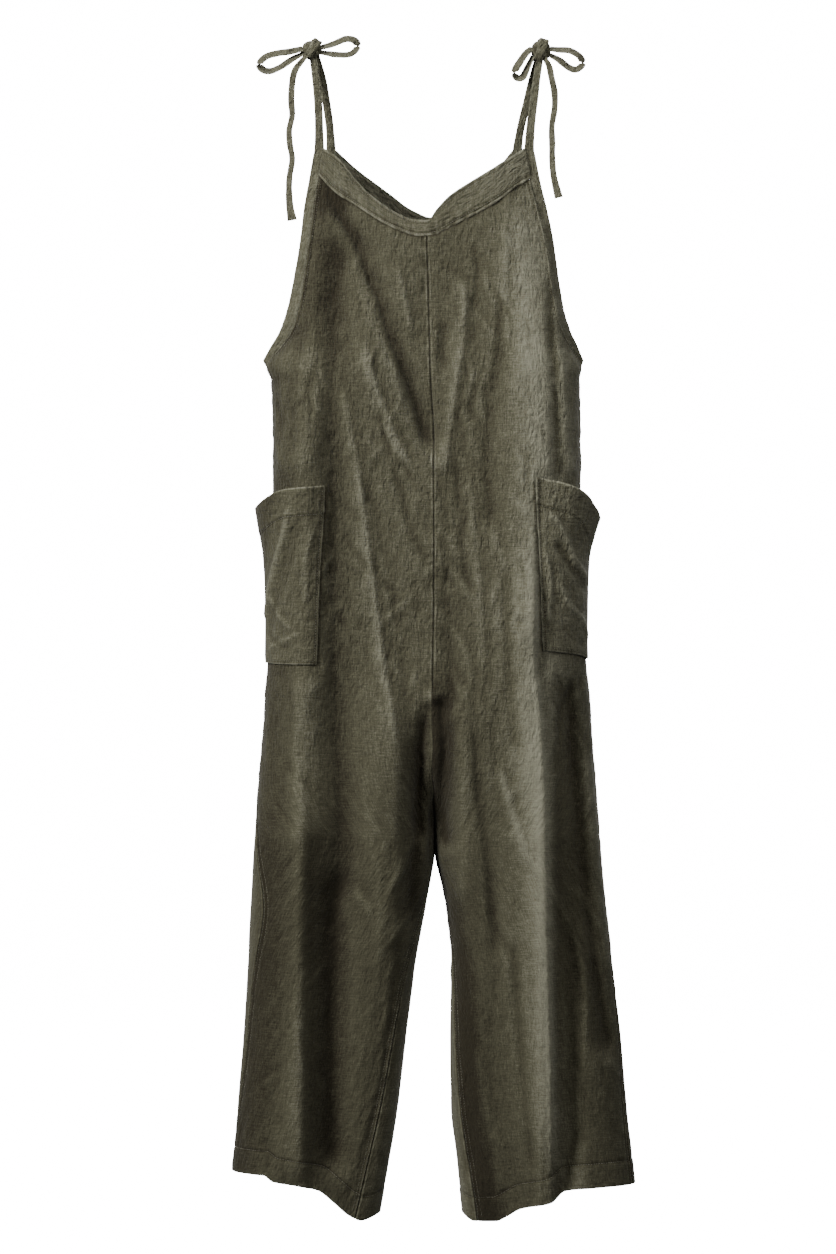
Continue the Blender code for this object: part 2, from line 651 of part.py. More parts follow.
# Bows. Each path is the middle line of a flat tie; lean turns its width from front-to-back
# towards upright.
Tie = namedtuple("Tie", "x y z lean half_width")
TIES = {
    "bow_right_outer_loop": [
        Tie(-0.1562, -0.0012, 0.0115, 0.25, 0.0040), Tie(-0.1700, -0.0050, 0.0074, 0.45, 0.0046),
        Tie(-0.1854, -0.0070, 0.0049, 0.50, 0.0048), Tie(-0.1989, -0.0080, 0.0006, 0.50, 0.0048),
        Tie(-0.2066, -0.0080, -0.0080, 0.45, 0.0048), Tie(-0.2020, -0.0080, -0.0152, 0.40, 0.0048),
        Tie(-0.1928, -0.0070, -0.0165, 0.40, 0.0048), Tie(-0.1806, -0.0060, -0.0112, 0.40, 0.0046),
        Tie(-0.1660, -0.0035, -0.0012, 0.35, 0.0044), Tie(-0.1562, -0.0010, 0.0060, 0.20, 0.0036),
    ],
    "bow_right_inner_loop": [
        Tie(-0.1292, -0.0012, 0.0128, 0.35, 0.0040), Tie(-0.1171, -0.0045, 0.0165, 0.45, 0.0044),
        Tie(-0.1013, -0.0060, 0.0226, 0.50, 0.0046), Tie(-0.0905, -0.0065, 0.0205, 0.45, 0.0046),
        Tie(-0.0872, -0.0065, 0.0130, 0.45, 0.0046), Tie(-0.0930, -0.0060, 0.0058, 0.40, 0.0046),
        Tie(-0.1013, -0.0050, 0.0034, 0.40, 0.0046), Tie(-0.1150, -0.0035, 0.0040, 0.35, 0.0044),
        Tie(-0.1292, -0.0012, 0.0070, 0.30, 0.0040),
    ],
    "tie_end_right": [
        Tie(-0.1484, -0.0060, 0.0032, 0.80, 0.0028), Tie(-0.1560, -0.0100, -0.0060, 1.20, 0.0034),
        Tie(-0.1630, -0.0115, -0.0160, 1.30, 0.0038),
        Tie(-0.1664, -0.0110, -0.0300, 1.35, 0.0038), Tie(-0.1678, -0.0110, -0.0520, 1.30, 0.0036),
        Tie(-0.1666, -0.0115, -0.0710, 1.15, 0.0036), Tie(-0.1702, -0.0120, -0.0890, 1.20, 0.0036),
        Tie(-0.1694, -0.0120, -0.1060, 1.30, 0.0036), Tie(-0.1666, -0.0125, -0.1250, 1.25, 0.0036),
        Tie(-0.1698, -0.0130, -0.1460, 1.20, 0.0036), Tie(-0.1704, -0.0130, -0.1650, 1.30, 0.0038),
        Tie(-0.1692, -0.0130, -0.1830, 1.40, 0.0044), Tie(-0.1665, -0.0130, -0.1990, 1.45, 0.0054),
    ],
    "bow_left_inner_loop": [
        Tie(0.1238, -0.0012, 0.0120, 0.35, 0.0040), Tie(0.1180, -0.0045, 0.0050, 0.40, 0.0044),
        Tie(0.1110, -0.0060, -0.0050, 0.45, 0.0046), Tie(0.1045, -0.0070, -0.0168, 0.45, 0.0046),
        Tie(0.1068, -0.0070, -0.0246, 0.40, 0.0046), Tie(0.1140, -0.0060, -0.0240, 0.40, 0.0044),
        Tie(0.1195, -0.0040, -0.0130, 0.35, 0.0042), Tie(0.1236, -0.0010, 0.0030, 0.20, 0.0036),
    ],
    "bow_left_outer_loop": [
        Tie(0.1496, -0.0012, 0.0112, 0.35, 0.0040), Tie(0.1600, -0.0045, 0.0095, 0.40, 0.0044),
        Tie(0.1722, -0.0060, 0.0082, 0.45, 0.0046), Tie(0.1838, -0.0070, 0.0010, 0.45, 0.0046),
        Tie(0.1868, -0.0070, -0.0080, 0.45, 0.0046), Tie(0.1800, -0.0070, -0.0145, 0.40, 0.0046),
        Tie(0.1710, -0.0060, -0.0125, 0.40, 0.0046), Tie(0.1590, -0.0040, -0.0030, 0.35, 0.0044),
        Tie(0.1496, -0.0010, 0.0042, 0.20, 0.0036),
    ],
    "tie_end_left": [
        Tie(0.1408, -0.0053, -0.0008, 0.80, 0.0028), Tie(0.1462, -0.0098, -0.0110, 1.20, 0.0034),
        Tie(0.1490, -0.0108, -0.0240, 1.30, 0.0038),
        Tie(0.1528, -0.0110, -0.0430, 1.35, 0.0038), Tie(0.1530, -0.0110, -0.0620, 1.30, 0.0036),
        Tie(0.1496, -0.0115, -0.0840, 1.15, 0.0036), Tie(0.1500, -0.0120, -0.1050, 1.25, 0.0036),
        Tie(0.1500, -0.0125, -0.1240, 1.30, 0.0038), Tie(0.1520, -0.0130, -0.1460, 1.35, 0.0040),
        Tie(0.1580, -0.0130, -0.1715, 1.40, 0.0050),
    ],
}


def seated(name, path):
    """The path with each loop's two ends moved sideways to just clear of their knot."""
    size = KNOTS[RIGHT if "right" in name else LEFT]
    ends = {0, len(path) - 1} if "loop" in name else set()
    spots = []
    for i, spot in enumerate(path):
        if i in ends:
            rest = 1.0 - (spot.y / size.half_y) ** 2 - ((spot.z - size.z) / size.half_z) ** 2
            reach = size.half_x * math.sqrt(max(0.0, rest)) + LOOP_SEAT
            spot = spot._replace(x=size.x + math.copysign(reach, spot.x - size.x))
        spots.append(spot)
    return spots


def tie(name, collection, material):
    path = seated(name, TIES[name])
    outer, inner = [], []
    for i, spot in enumerate(path):
        a, b = path[max(0, i - 1)], path[min(len(path) - 1, i + 1)]
        forward = Vector((b.x - a.x, b.y - a.y, b.z - a.z)).normalized()
        sideways = Vector((0.0, 1.0, 0.0)).cross(forward).normalized()
        width = Vector((0.0, 1.0, 0.0)) * math.cos(spot.lean) + sideways * math.sin(spot.lean)
        width = (width - forward * width.dot(forward)).normalized()
        normal = forward.cross(width).normalized()
        middle = Vector((spot.x, spot.y, spot.z))
        lift = normal * TIE / 2
        outer.append([middle - width * spot.half_width + lift, middle + width * spot.half_width + lift])
        inner.append([middle - width * spot.half_width - lift, middle + width * spot.half_width - lift])
    return solid(name, outer, inner, collection, material)


KNOT_RINGS, KNOT_SPOTS = 8, 14



def knot(name, side, collection, material):
    size = KNOTS[side]
    bm = bmesh.new()
    rings = []
    for r in range(1, KNOT_RINGS):
        tilt = math.pi * r / KNOT_RINGS
        ring = []
        for i in range(KNOT_SPOTS):
            turn = 2 * math.pi * i / KNOT_SPOTS
            ring.append(bm.verts.new((
                size.x + size.half_x * math.sin(tilt) * math.cos(turn),
                size.half_y * math.sin(tilt) * math.sin(turn),
                size.z + size.half_z * math.cos(tilt))))
        rings.append(ring)
    top = bm.verts.new((size.x, 0.0, size.z + size.half_z))
    foot = bm.verts.new((size.x, 0.0, size.z - size.half_z))
    for a, b in zip(rings, rings[1:]):
        for i in range(KNOT_SPOTS):
            j = (i + 1) % KNOT_SPOTS
            bm.faces.new((a[i], a[j], b[j], b[i]))
    for i in range(KNOT_SPOTS):
        j = (i + 1) % KNOT_SPOTS
        bm.faces.new((top, rings[0][j], rings[0][i]))
        bm.faces.new((foot, rings[-1][i], rings[-1][j]))
    bmesh.ops.recalc_face_normals(bm, faces=bm.faces)
    mesh = bpy.data.meshes.new(name)
    bm.to_mesh(mesh)
    bm.free()
    item = bpy.data.objects.new(name, mesh)
    item.data.materials.append(material)
    collection.objects.link(item)
    return item


def main():
    for item in list(bpy.data.objects):
        bpy.data.objects.remove(item, do_unlink=True)
    collection = bpy.data.collections.new("overalls")
    bpy.context.scene.collection.children.link(collection)
    olive = (0.070, 0.066, 0.041)
    for side in (RIGHT, LEFT):
        panel("front_" + named(side), side, FRONT, collection, linen("front_" + named(side), olive))
        panel("back_" + named(side), side, BACK, collection, linen("back_" + named(side), olive))
        binding("armhole_binding_" + named(side), side, collection, linen("binding_" + named(side), olive))
        pocket("pocket_" + named(side), side, collection, linen("pocket_" + named(side), olive))
        knot("knot_" + named(side), side, collection, linen("knot_" + named(side), olive))
    neck_band("neck_band_front", FRONT, collection, linen("neck_band_front", olive))
    neck_band("neck_band_back", BACK, collection, linen("neck_band_back", olive))
    for name in TIES:
        tie(name, collection, linen(name, olive))


main()
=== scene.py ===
"""Overalls hung by four tied straps: the cloth, its folds and seams, the bows and the light."""
import math
from collections import namedtuple

import bpy
import numpy as np
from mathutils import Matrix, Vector


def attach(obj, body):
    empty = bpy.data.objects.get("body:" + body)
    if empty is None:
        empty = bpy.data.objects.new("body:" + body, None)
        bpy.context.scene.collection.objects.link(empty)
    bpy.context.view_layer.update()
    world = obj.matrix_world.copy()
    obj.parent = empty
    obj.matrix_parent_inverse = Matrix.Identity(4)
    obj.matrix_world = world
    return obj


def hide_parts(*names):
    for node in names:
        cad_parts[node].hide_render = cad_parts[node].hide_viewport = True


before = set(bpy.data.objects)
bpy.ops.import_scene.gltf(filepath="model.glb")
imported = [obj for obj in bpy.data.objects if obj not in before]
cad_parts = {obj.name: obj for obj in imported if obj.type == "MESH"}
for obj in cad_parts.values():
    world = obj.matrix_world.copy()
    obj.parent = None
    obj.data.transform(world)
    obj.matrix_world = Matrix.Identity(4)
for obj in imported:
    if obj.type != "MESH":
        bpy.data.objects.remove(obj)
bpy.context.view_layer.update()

# Metres, except in the tables that millimetres() and folds() turn into metres. x runs to the
# wearer's left, y to the wearer's back, z up from the knots' undersides. Right and left are the
# wearer's.
RIGHT, LEFT = -1, 1
FRONT, BACK = -1, 1
# Thickness of the cloth, and how far each sewn edge stays off its seam.
CLOTH, TRIM = 0.0012, 0.00006
# Exponent of the body's rounded cross-sections, and the heights between which it parts into legs.
ROUNDNESS = 2.6
RISE_TOP, CROTCH = -0.795, -0.945
# Heights of the underarm, of a panel's top row and last row, and where rows start to bend to the hem.
UNDERARM = -0.3776
PANEL_TOP, PANEL_FOOT = -0.2196, -1.3900
HEM_EASE_FROM = -1.150
# Up from a hem: the edge of the turned-up cloth, its stitches and the groove they pull in.
HEM_EDGE, HEM_SEWN, HEM_GROOVE = 0.0275, 0.0285, 0.0290
# Down from a pocket's mouth to the stitches of its hem, and in from its sides to their stitches.
POCKET_HEM, POCKET_SEAM = 0.033, 0.0028
COLUMNS = {FRONT: 114, BACK: 98}


def millimetres(kind, rows, plain=()):
    """Named rows in metres, from rows in millimetres. The columns in plain are not lengths."""
    return [kind(*(value if name in plain else value / 1000 for name, value in zip(kind._fields, row)))
            for row in rows]



# Cross-sections from the strap bases to the hems. right and left are the outer edges: the seam
# of the armhole binding down to the underarm, then the side of the body and of each leg.
# right_in and left_in are the centre seam down to the crotch, then the inner face of each leg.
# front and back are how far the cloth stands from the middle plane.
Section = namedtuple("Section", "z right left right_in left_in front back")
SECTIONS = millimetres(Section, [
    (-112, -128.1, 116.5, -2.4, -2.4, 30, 27),
    (-150, -134.5, 123.8, -2.4, -2.4, 33, 30),
    (-185, -141, 132.5, -2.4, -2.4, 36, 33),
    (-222, -146.4, 141.3, -2.4, -2.4, 39, 36),
    (-270, -152.7, 149.2, -1.2, -1.2, 43, 40),
    (-310, -159, 155.5, -0.2, -0.2, 46, 43),
    (-340, -169, 164, 0.4, 0.4, 49, 46),
    (-358, -182.5, 174, 1, 1, 51, 48),
    (-377.6, -197.6, 185.4, 1.4, 1.4, 53, 50),
    (-395, -191.5, 183, 2, 2, 54, 52),
    (-466, -190.3, 184.2, 4.9, 4.9, 57, 56),
    (-539.2, -190.3, 184.8, 5.6, 5.6, 60, 60),
    (-636.8, -194, 187.9, 6, 6, 63, 65),
    (-734.4, -196.4, 191.5, 4.8, 4.8, 65, 68),
    (-807.6, -201.3, 197.6, 4, 4, 66, 70),
    (-860, -205.5, 201.2, 4.4, 4.4, 66, 70),
    (-905.2, -209.8, 205, 5.3, 5.3, 65, 69),
    (-945, -212.5, 207.5, 6.3, 6.5, 63, 67),
    (-970, -214.3, 209.3, 6.2, 8, 62, 66),
    (-1027.2, -217.2, 214.8, -2.4, 19.5, 60, 64),
    (-1100.4, -220.8, 223, -15.9, 26.8, 58, 62),
    (-1198, -226.9, 234.2, -28.1, 25.6, 56, 60),
    (-1271.2, -233, 240.3, -36.6, 26.8, 55, 60),
    (-1354.2, -239.1, 249.5, -50, 34.5, 54, 60),
    (-1423.7, -244, 256.2, -62.5, 41.5, 53, 60),
])

# Free edge of the armhole binding and where its seam lies. rise is how much higher the free
# edge is than the seam beside it; seam_y and edge_y are their distances from the middle plane;
# back_in is how much nearer the centre the back armhole runs.
Armhole = namedtuple("Armhole", "z right left rise seam_y edge_y back_in")
ARMHOLES = millimetres(Armhole, [
    (-112, -139.7, 128.1, 0, 12, 10.5, 14),
    (-150, -146.4, 135.4, 0, 15.5, 12.5, 11),
    (-185, -152.5, 143.7, 0.5, 18.5, 14, 8.5),
    (-222, -156.8, 151.3, 1, 21, 15, 6.5),
    (-270, -164.7, 158, 1.5, 24, 16, 4),
    (-310, -173, 164.5, 2.5, 24, 15, 2),
    (-340, -183, 173.5, 4.5, 18.5, 11, 0.7),
    (-358, -192.5, 181, 7, 10.5, 6, 0),
    (-377.6, -202.5, 188.5, 9.2, 0, 0, 0),
])

# Where the leg seams lie: how far round to the front they have turned from the outer and
# inner edge of the leg.
Turn = namedtuple("Turn", "z right_side left_side right_inseam left_inseam")
TURNS = millimetres(Turn, [
    (-800, 0, 0, 0, 0),
    (-940, 22, 2, 0, 0),
    (-1040, 46, 6, 22, 10),
    (-1115, 34, 13, 36, 22),
    (-1240, 24, 20, 46, 32),
    (-1350, 10, 24, 54, 40),
    (-1420, 8, 24, 58, 44),
])

# Edges across the garment, from the wearer's right to the left: height over x.
Edge = namedtuple("Edge", "x z")
FRONT_NECK = millimetres(Edge, [
    (-128.1, -112), (-108.6, -126.3), (-89.1, -150.1), (-74.4, -165.9), (-56.1, -180.6),
    (-36.6, -192.8), (-18, -199.8), (-2.4, -201.2), (9, -188), (24.4, -172), (45.1, -157.4),
    (75.6, -138.5), (101.3, -122), (116.5, -112),
])
FRONT_SEAM = millimetres(Edge, [
    (-133.5, -144), (-117.1, -162.3), (-92.7, -178.9), (-72, -192.8), (-52.5, -205), (-31.7, -214.2),
    (-12.2, -219.6), (4.9, -218.4), (20.7, -211.1), (45.1, -198.1), (64.7, -187.9), (85.4, -174.8),
    (105.7, -158.6), (123.2, -148),
])
BACK_NECK = millimetres(Edge, [
    (-114.1, -112), (-94, -130), (-79.3, -141.5), (-48.8, -163.5), (-20, -185), (-1.2, -192.5),
    (20, -184), (50, -161), (80, -138), (102.5, -112),
])
BACK_SEAM = millimetres(Edge, [
    (-123, -149), (-100, -166), (-79.3, -180), (-48.8, -200), (-20, -220), (-1.2, -227), (20, -219),
    (50, -198), (80, -176), (113, -150),
])
HEMS = {
    (RIGHT, FRONT): millimetres(Edge, [
        (-244, -1355), (-200.1, -1356.6), (-189.1, -1364), (-161, -1369), (-135.4, -1374.5),
        (-114.7, -1390.8), (-96.4, -1406.7), (-81.7, -1413), (-60, -1406),
    ]),
    (RIGHT, BACK): millimetres(Edge, [
        (-244, -1355), (-200.1, -1363), (-164.7, -1375.7), (-128.1, -1389.4), (-102.5, -1396.9),
        (-81.7, -1403), (-60, -1406),
    ]),
    (LEFT, FRONT): millimetres(Edge, [
        (41, -1406), (53.7, -1413), (80.5, -1412.8), (93.9, -1406.7), (110.7, -1397), (148.8, -1388.4),
        (164.7, -1375.7), (200.1, -1372.5), (250, -1370),
    ]),
    (LEFT, BACK): millimetres(Edge, [
        (41, -1406), (80.5, -1404.2), (114.7, -1407.9), (130.5, -1405.4), (159.8, -1386),
        (180.6, -1377.2), (250, -1370),
    ]),
}

# Folds: height (minus for a valley), width on each side of the path, the length over which the
# ends fade out, then the path as x and z.
Fold = namedtuple("Fold", "height left right fade path")


def folds(rows):
    """Folds in metres, from rows in millimetres. Their names only tell where each one is."""
    return [Fold(*(size / 1000 for size in row[:4]), [(x / 1000, z / 1000) for x, z in row[4:]])
            for row in rows.values()]


FRONT_FOLDS = folds({
    "breast_valley": (-10, 11, 27, 37,
        (-134, -149), (-110, -200), (-93, -226), (-75, -276), (-53, -338), (-30, -399), (-15, -445),
        (-3, -493)),
    "breast_valley_lip": (1.6, 12, 16, 37,
        (-100, -171), (-70, -228), (-45, -285), (-26, -346), (-7, -407), (1, -451)),
    "right_ridge": (7, 25, 52, 49,
        (-135, -168), (-146, -222), (-150, -295), (-151, -417), (-155, -503), (-157, -612),
        (-157, -710), (-159, -832), (-159, -966)),
    "right_valley": (-8, 21, 30, 49,
        (-117, -200), (-123, -295), (-126, -393), (-127, -490), (-127, -612), (-126, -710),
        (-121, -808), (-116, -933), (-121, -1027)),
    "waist_streak": (4.4, 21, 5.5, 60,
        (-109, -383), (-96, -454), (-85, -515), (-73, -603), (-62, -686), (-55, -737), (-43, -810),
        (-37, -856)),
    "waist_streak_valley": (-1.8, 6, 18, 49,
        (-77, -503), (-60, -588), (-45, -673), (-33, -771), (-26, -832)),
    "breast_streak": (3, 15, 5, 29, (-79, -350), (-65, -399), (-49, -445), (-33, -481), (-18, -512)),
    "waist_curve": (-2.6, 7, 10, 37, (-65, -417), (-56, -466), (-40, -522), (-23, -582), (1, -632)),
    "left_ridge_top": (7, 62, 45, 60,
        (110, -159), (116, -222), (121, -311), (126, -417), (126, -490), (128, -576), (129, -670),
        (127, -736)),
    "left_ridge": (10, 56, 11, 110,
        (128, -576), (129, -670), (127, -736), (132, -808), (137, -884), (139, -1003), (142, -1132),
        (146, -1247), (154, -1355), (156, -1387)),
    "left_valley": (-4, 8, 13, 37, (140, -259), (145, -344), (149, -442), (151, -515), (152, -588)),
    "left_side_ridge": (3.6, 10, 6, 29,
        (148, -192), (156, -298), (163, -393), (171, -478), (174, -526)),
    "lens": (4.6, 14, 8, 30, (40, -260), (42, -315), (38, -360), (30, -415), (22, -470), (18, -520)),
    "hip_centre_valley": (-4, 12, 20, 40, (10, -600), (16, -670), (20, -740), (22, -800)),
    "lens_valley": (-2.4, 8, 9, 17, (15, -315), (13, -350), (15, -386)),
    "left_breast_valley": (-5, 11, 21, 37,
        (84, -274), (81, -332), (74, -393), (66, -454), (67, -521), (72, -588)),
    "left_waist_line": (-2.6, 7, 11.5, 29, (28, -481), (32, -539), (38, -612), (50, -664)),
    "left_waist_ridge": (2.2, 13, 6, 37, (48, -503), (55, -588), (62, -673), (67, -759)),
    "left_hip_line": (-2.6, 8, 13.2, 29, (87, -612), (91, -686), (94, -771), (101, -856)),
    "right_side_ridge": (3.4, 9.8, 11.7, 29, (-177, -338), (-176, -405), (-178, -466), (-182, -515)),
    "right_leg_ridge": (8, 33, 20, 49,
        (-158, -914), (-159, -960), (-160, -1027), (-160, -1100), (-160, -1222), (-159, -1359),
        (-159, -1381)),
    "right_leg_valley": (-11.5, 27, 30, 49,
        (-120, -974), (-124, -1003), (-128, -1100), (-131, -1222), (-131, -1369)),
    "right_leg_lip": (2, 18, 20, 37,
        (-98, -1003), (-91, -1108), (-93, -1222), (-96, -1332), (-100, -1393)),
    "right_knee_crease": (1.6, 6.6, 6.6, 12, (-98, -1005), (-84, -1020), (-67, -1046)),
    "right_inner_valley": (-6, 20, 16, 29,
        (-11, -791), (-20, -856), (-24, -930), (-29, -1003), (-33, -1064)),
    "right_inner_edge": (1.9, 6.6, 9.9, 24,
        (-22, -1027), (-29, -1100), (-34, -1186), (-41, -1279), (-50, -1344)),
    "right_inner_line": (-1.5, 6.6, 8.2, 24,
        (-40, -1064), (-48, -1149), (-60, -1238), (-72, -1292), (-94, -1385)),
    "crotch_fold": (2.6, 7, 7, 12, (2, -766), (1, -798), (-4, -826), (-10, -856)),
    "crotch_left_dark": (-8, 12, 11, 17,
        (-2, -778), (-10, -810), (-17, -852), (-20, -913), (-18, -954)),
    "crotch_right_dark": (-8.5, 11, 15, 20, (10, -771), (13, -832), (13, -905), (18, -966)),
    "left_inner_valley": (-5, 20, 20, 37, (26, -1003), (32, -1100), (37, -1222), (39, -1375)),
    "left_inner_streak": (1.9, 8.2, 9.9, 24, (55, -1198), (65, -1247), (77, -1308), (87, -1381)),
    "left_thigh_streak": (2.8, 12, 6, 27, (84, -856), (101, -917), (122, -986)),
    "left_thigh_line": (-2.8, 8, 11.5, 29, (50, -808), (57, -905), (70, -1003), (77, -1100)),
    "left_shin_line": (-2.8, 8, 12.5, 29, (96, -1064), (104, -1149), (111, -1247), (123, -1357)),
    "left_outer_wedge": (-9, 19, 16, 37,
        (155, -744), (163, -832), (170, -905), (182, -1027), (196, -1137), (211, -1225)),
    "left_outer_ridge": (4, 12, 11, 37, (192, -832), (204, -942), (213, -1033), (222, -1125)),
    "left_outer_crease": (1.2, 6.6, 6.6, 12, (174, -1008), (189, -1027), (209, -1064)),
    "left_outer_crease_b": (1.1, 6.6, 6.6, 12, (167, -1033), (184, -1064), (199, -1100)),
    "hem_pinch_right": (-1.5, 8.2, 8.2, 12, (-204, -1308), (-199, -1330), (-194, -1354)),
    "hem_pinch_left": (-1.6, 8.2, 9.9, 15, (177, -1296), (167, -1332), (160, -1381)),
    "right_hip_crease": (-1.2, 8.2, 9.9, 20, (-174, -749), (-170, -808), (-172, -881)),
    "right_thigh_line": (1.1, 11.5, 11.5, 37, (-74, -856), (-70, -942), (-60, -1027), (-57, -1125)),
    "right_shin_line": (-1.1, 11.5, 13.2, 37, (-65, -1137), (-70, -1222), (-74, -1296), (-77, -1393)),
    "bib_line_a": (2.2, 9, 5, 22, (-38, -249), (-30, -295), (-18, -344)),
    "bib_line_b": (-2.2, 6, 9, 17, (50, -222), (55, -266), (50, -315)),
    "bib_line_c": (2.2, 9, 5, 17, (96, -222), (91, -283), (96, -356)),
})
BACK_FOLDS = folds({
    "right_back_ridge": (6.3, 23.4, 17.6, 49,
        (-131, -222), (-138, -417), (-131, -661), (-143, -905), (-157, -1210), (-162, -1393)),
    "right_back_valley": (-5.8, 17.6, 19.5, 49,
        (-101, -234), (-105, -466), (-99, -722), (-111, -1003), (-121, -1393)),
    "left_back_ridge": (6.3, 15.7, 25.4, 49,
        (123, -228), (131, -454), (123, -698), (135, -978), (150, -1393)),
    "left_back_valley": (-5.3, 17.6, 17.6, 49,
        (96, -295), (96, -564), (89, -808), (104, -1076), (111, -1393)),
    "left_back_diagonal": (-5, 15.7, 21.4, 37, (93, -222), (65, -332), (35, -429), (11, -503)),
    "left_back_lip": (1.8, 19.7, 13.2, 37, (74, -234), (48, -332), (23, -417)),
    "seat_ridge": (4.2, 23.4, 23.4, 49, (-62, -564), (-56, -661), (-60, -759), (-67, -832)),
    "seat_line": (-1.8, 11.5, 11.5, 37, (-33, -612), (-30, -710), (-21, -808)),
    "seat_line_left": (-1.8, 9.9, 13.2, 37, (40, -588), (33, -698), (26, -808)),
    "seat_left_dark": (-4.7, 9.8, 13.6, 20, (11, -783), (16, -856), (21, -954)),
    "seat_right_dark": (-4.7, 13.6, 9.8, 20, (-4, -783), (-11, -856), (-16, -954)),
    "left_calf_ridge": (3.4, 15.7, 19.5, 37, (70, -1003), (77, -1125), (82, -1247), (87, -1393)),
    "right_calf_ridge": (3.6, 17.6, 15.7, 37, (-67, -1027), (-74, -1149), (-82, -1271), (-89, -1393)),
    "left_side_back_line": (-3.2, 11.7, 13.6, 37, (178, -759), (189, -905), (206, -1064), (216, -1222)),
    "right_side_back_line": (-3.2, 13.6, 11.7, 37,
        (-179, -771), (-189, -930), (-199, -1076), (-204, -1247)),
    "back_crease_a": (1.2, 8.2, 8.2, 17, (-35, -332), (-23, -381), (-6, -417)),
    "back_crease_b": (1.2, 8.2, 8.2, 17, (33, -295), (26, -356), (28, -429)),
    "back_crease_c": (-1.2, 8.2, 9.9, 24, (-70, -393), (-60, -466), (-55, -539)),
})

FOLDS = {FRONT: FRONT_FOLDS, BACK: BACK_FOLDS}

# Straps: centre line from the knot down to the strap base.
Strap = namedtuple("Strap", "x y z half_width")
STRAPS = {
    (RIGHT, FRONT): millimetres(Strap, [
        (-142, -2.2, 7, 4), (-141.2, -3.5, 0.2, 4.5), (-138.5, -5, -20, 4.8), (-136.2, -6.5, -40, 5),
        (-134.5, -8.5, -65, 5), (-133.8, -10, -90, 5.2),
    ]),
    (RIGHT, BACK): millimetres(Strap, [
        (-139.2, 2.2, 7, 4), (-137, 3.5, 0.2, 4.5), (-130, 5, -25, 4.8), (-126.2, 7, -48, 5),
        (-122.5, 9, -72, 5), (-120.5, 10, -92, 5),
    ]),
    (LEFT, FRONT): millimetres(Strap, [
        (135.5, -2.2, 4, 4), (134.5, -3.5, -4, 4.5), (131.2, -5, -25, 4.8), (128.5, -6.5, -48, 5),
        (125.5, -8.5, -70, 5.2), (123.2, -10, -92, 5.5),
    ]),
    (LEFT, BACK): millimetres(Strap, [
        (134.4, 2.2, 4, 4), (132, 3.5, -4, 4.5), (125.5, 5.5, -28, 4.8), (120, 7.5, -52, 5),
        (114, 9, -76, 5), (110.5, 10, -93, 5),
    ]),
}

# Patch pockets: how far each reaches round from the side seam, its mouth and foot, and how far
# it stands off the body beside the seam.
Gape = namedtuple("Gape", "share right left")
POCKET_CROWN = 0.0009
POCKET_REACH = {RIGHT: (-0.088, 0.078), LEFT: (-0.082, 0.076)}
Mouth = namedtuple("Mouth", "along right_z left_z right_foot left_foot")
MOUTHS = millimetres(Mouth, [
    (0.0, -524, -513, -739, -722),
    (0.25, -529, -525, -738.5, -726),
    (0.5, -550, -562, -737, -732),
    (0.75, -533, -536, -738, -732),
    (1.0, -525, -522, -739, -730),
], plain=("along",))
GAPES = millimetres(Gape, [
    (0.0, 19, 20.5), (0.12, 14, 12), (0.3, 6.5, 4.5), (0.55, 2.2, 2), (0.8, 0.6, 0.8), (1.0, 0, 0),
], plain=("share",))

# Knots: the tied lump at the top of each pair of straps.
Knot = namedtuple("Knot", "x z half_x half_y half_z")
KNOTS = {
    RIGHT: Knot(-0.1427, 0.0110, 0.0120, 0.0085, 0.0105),
    LEFT: Knot(0.1366, 0.0088, 0.0118, 0.0085, 0.0125),
}

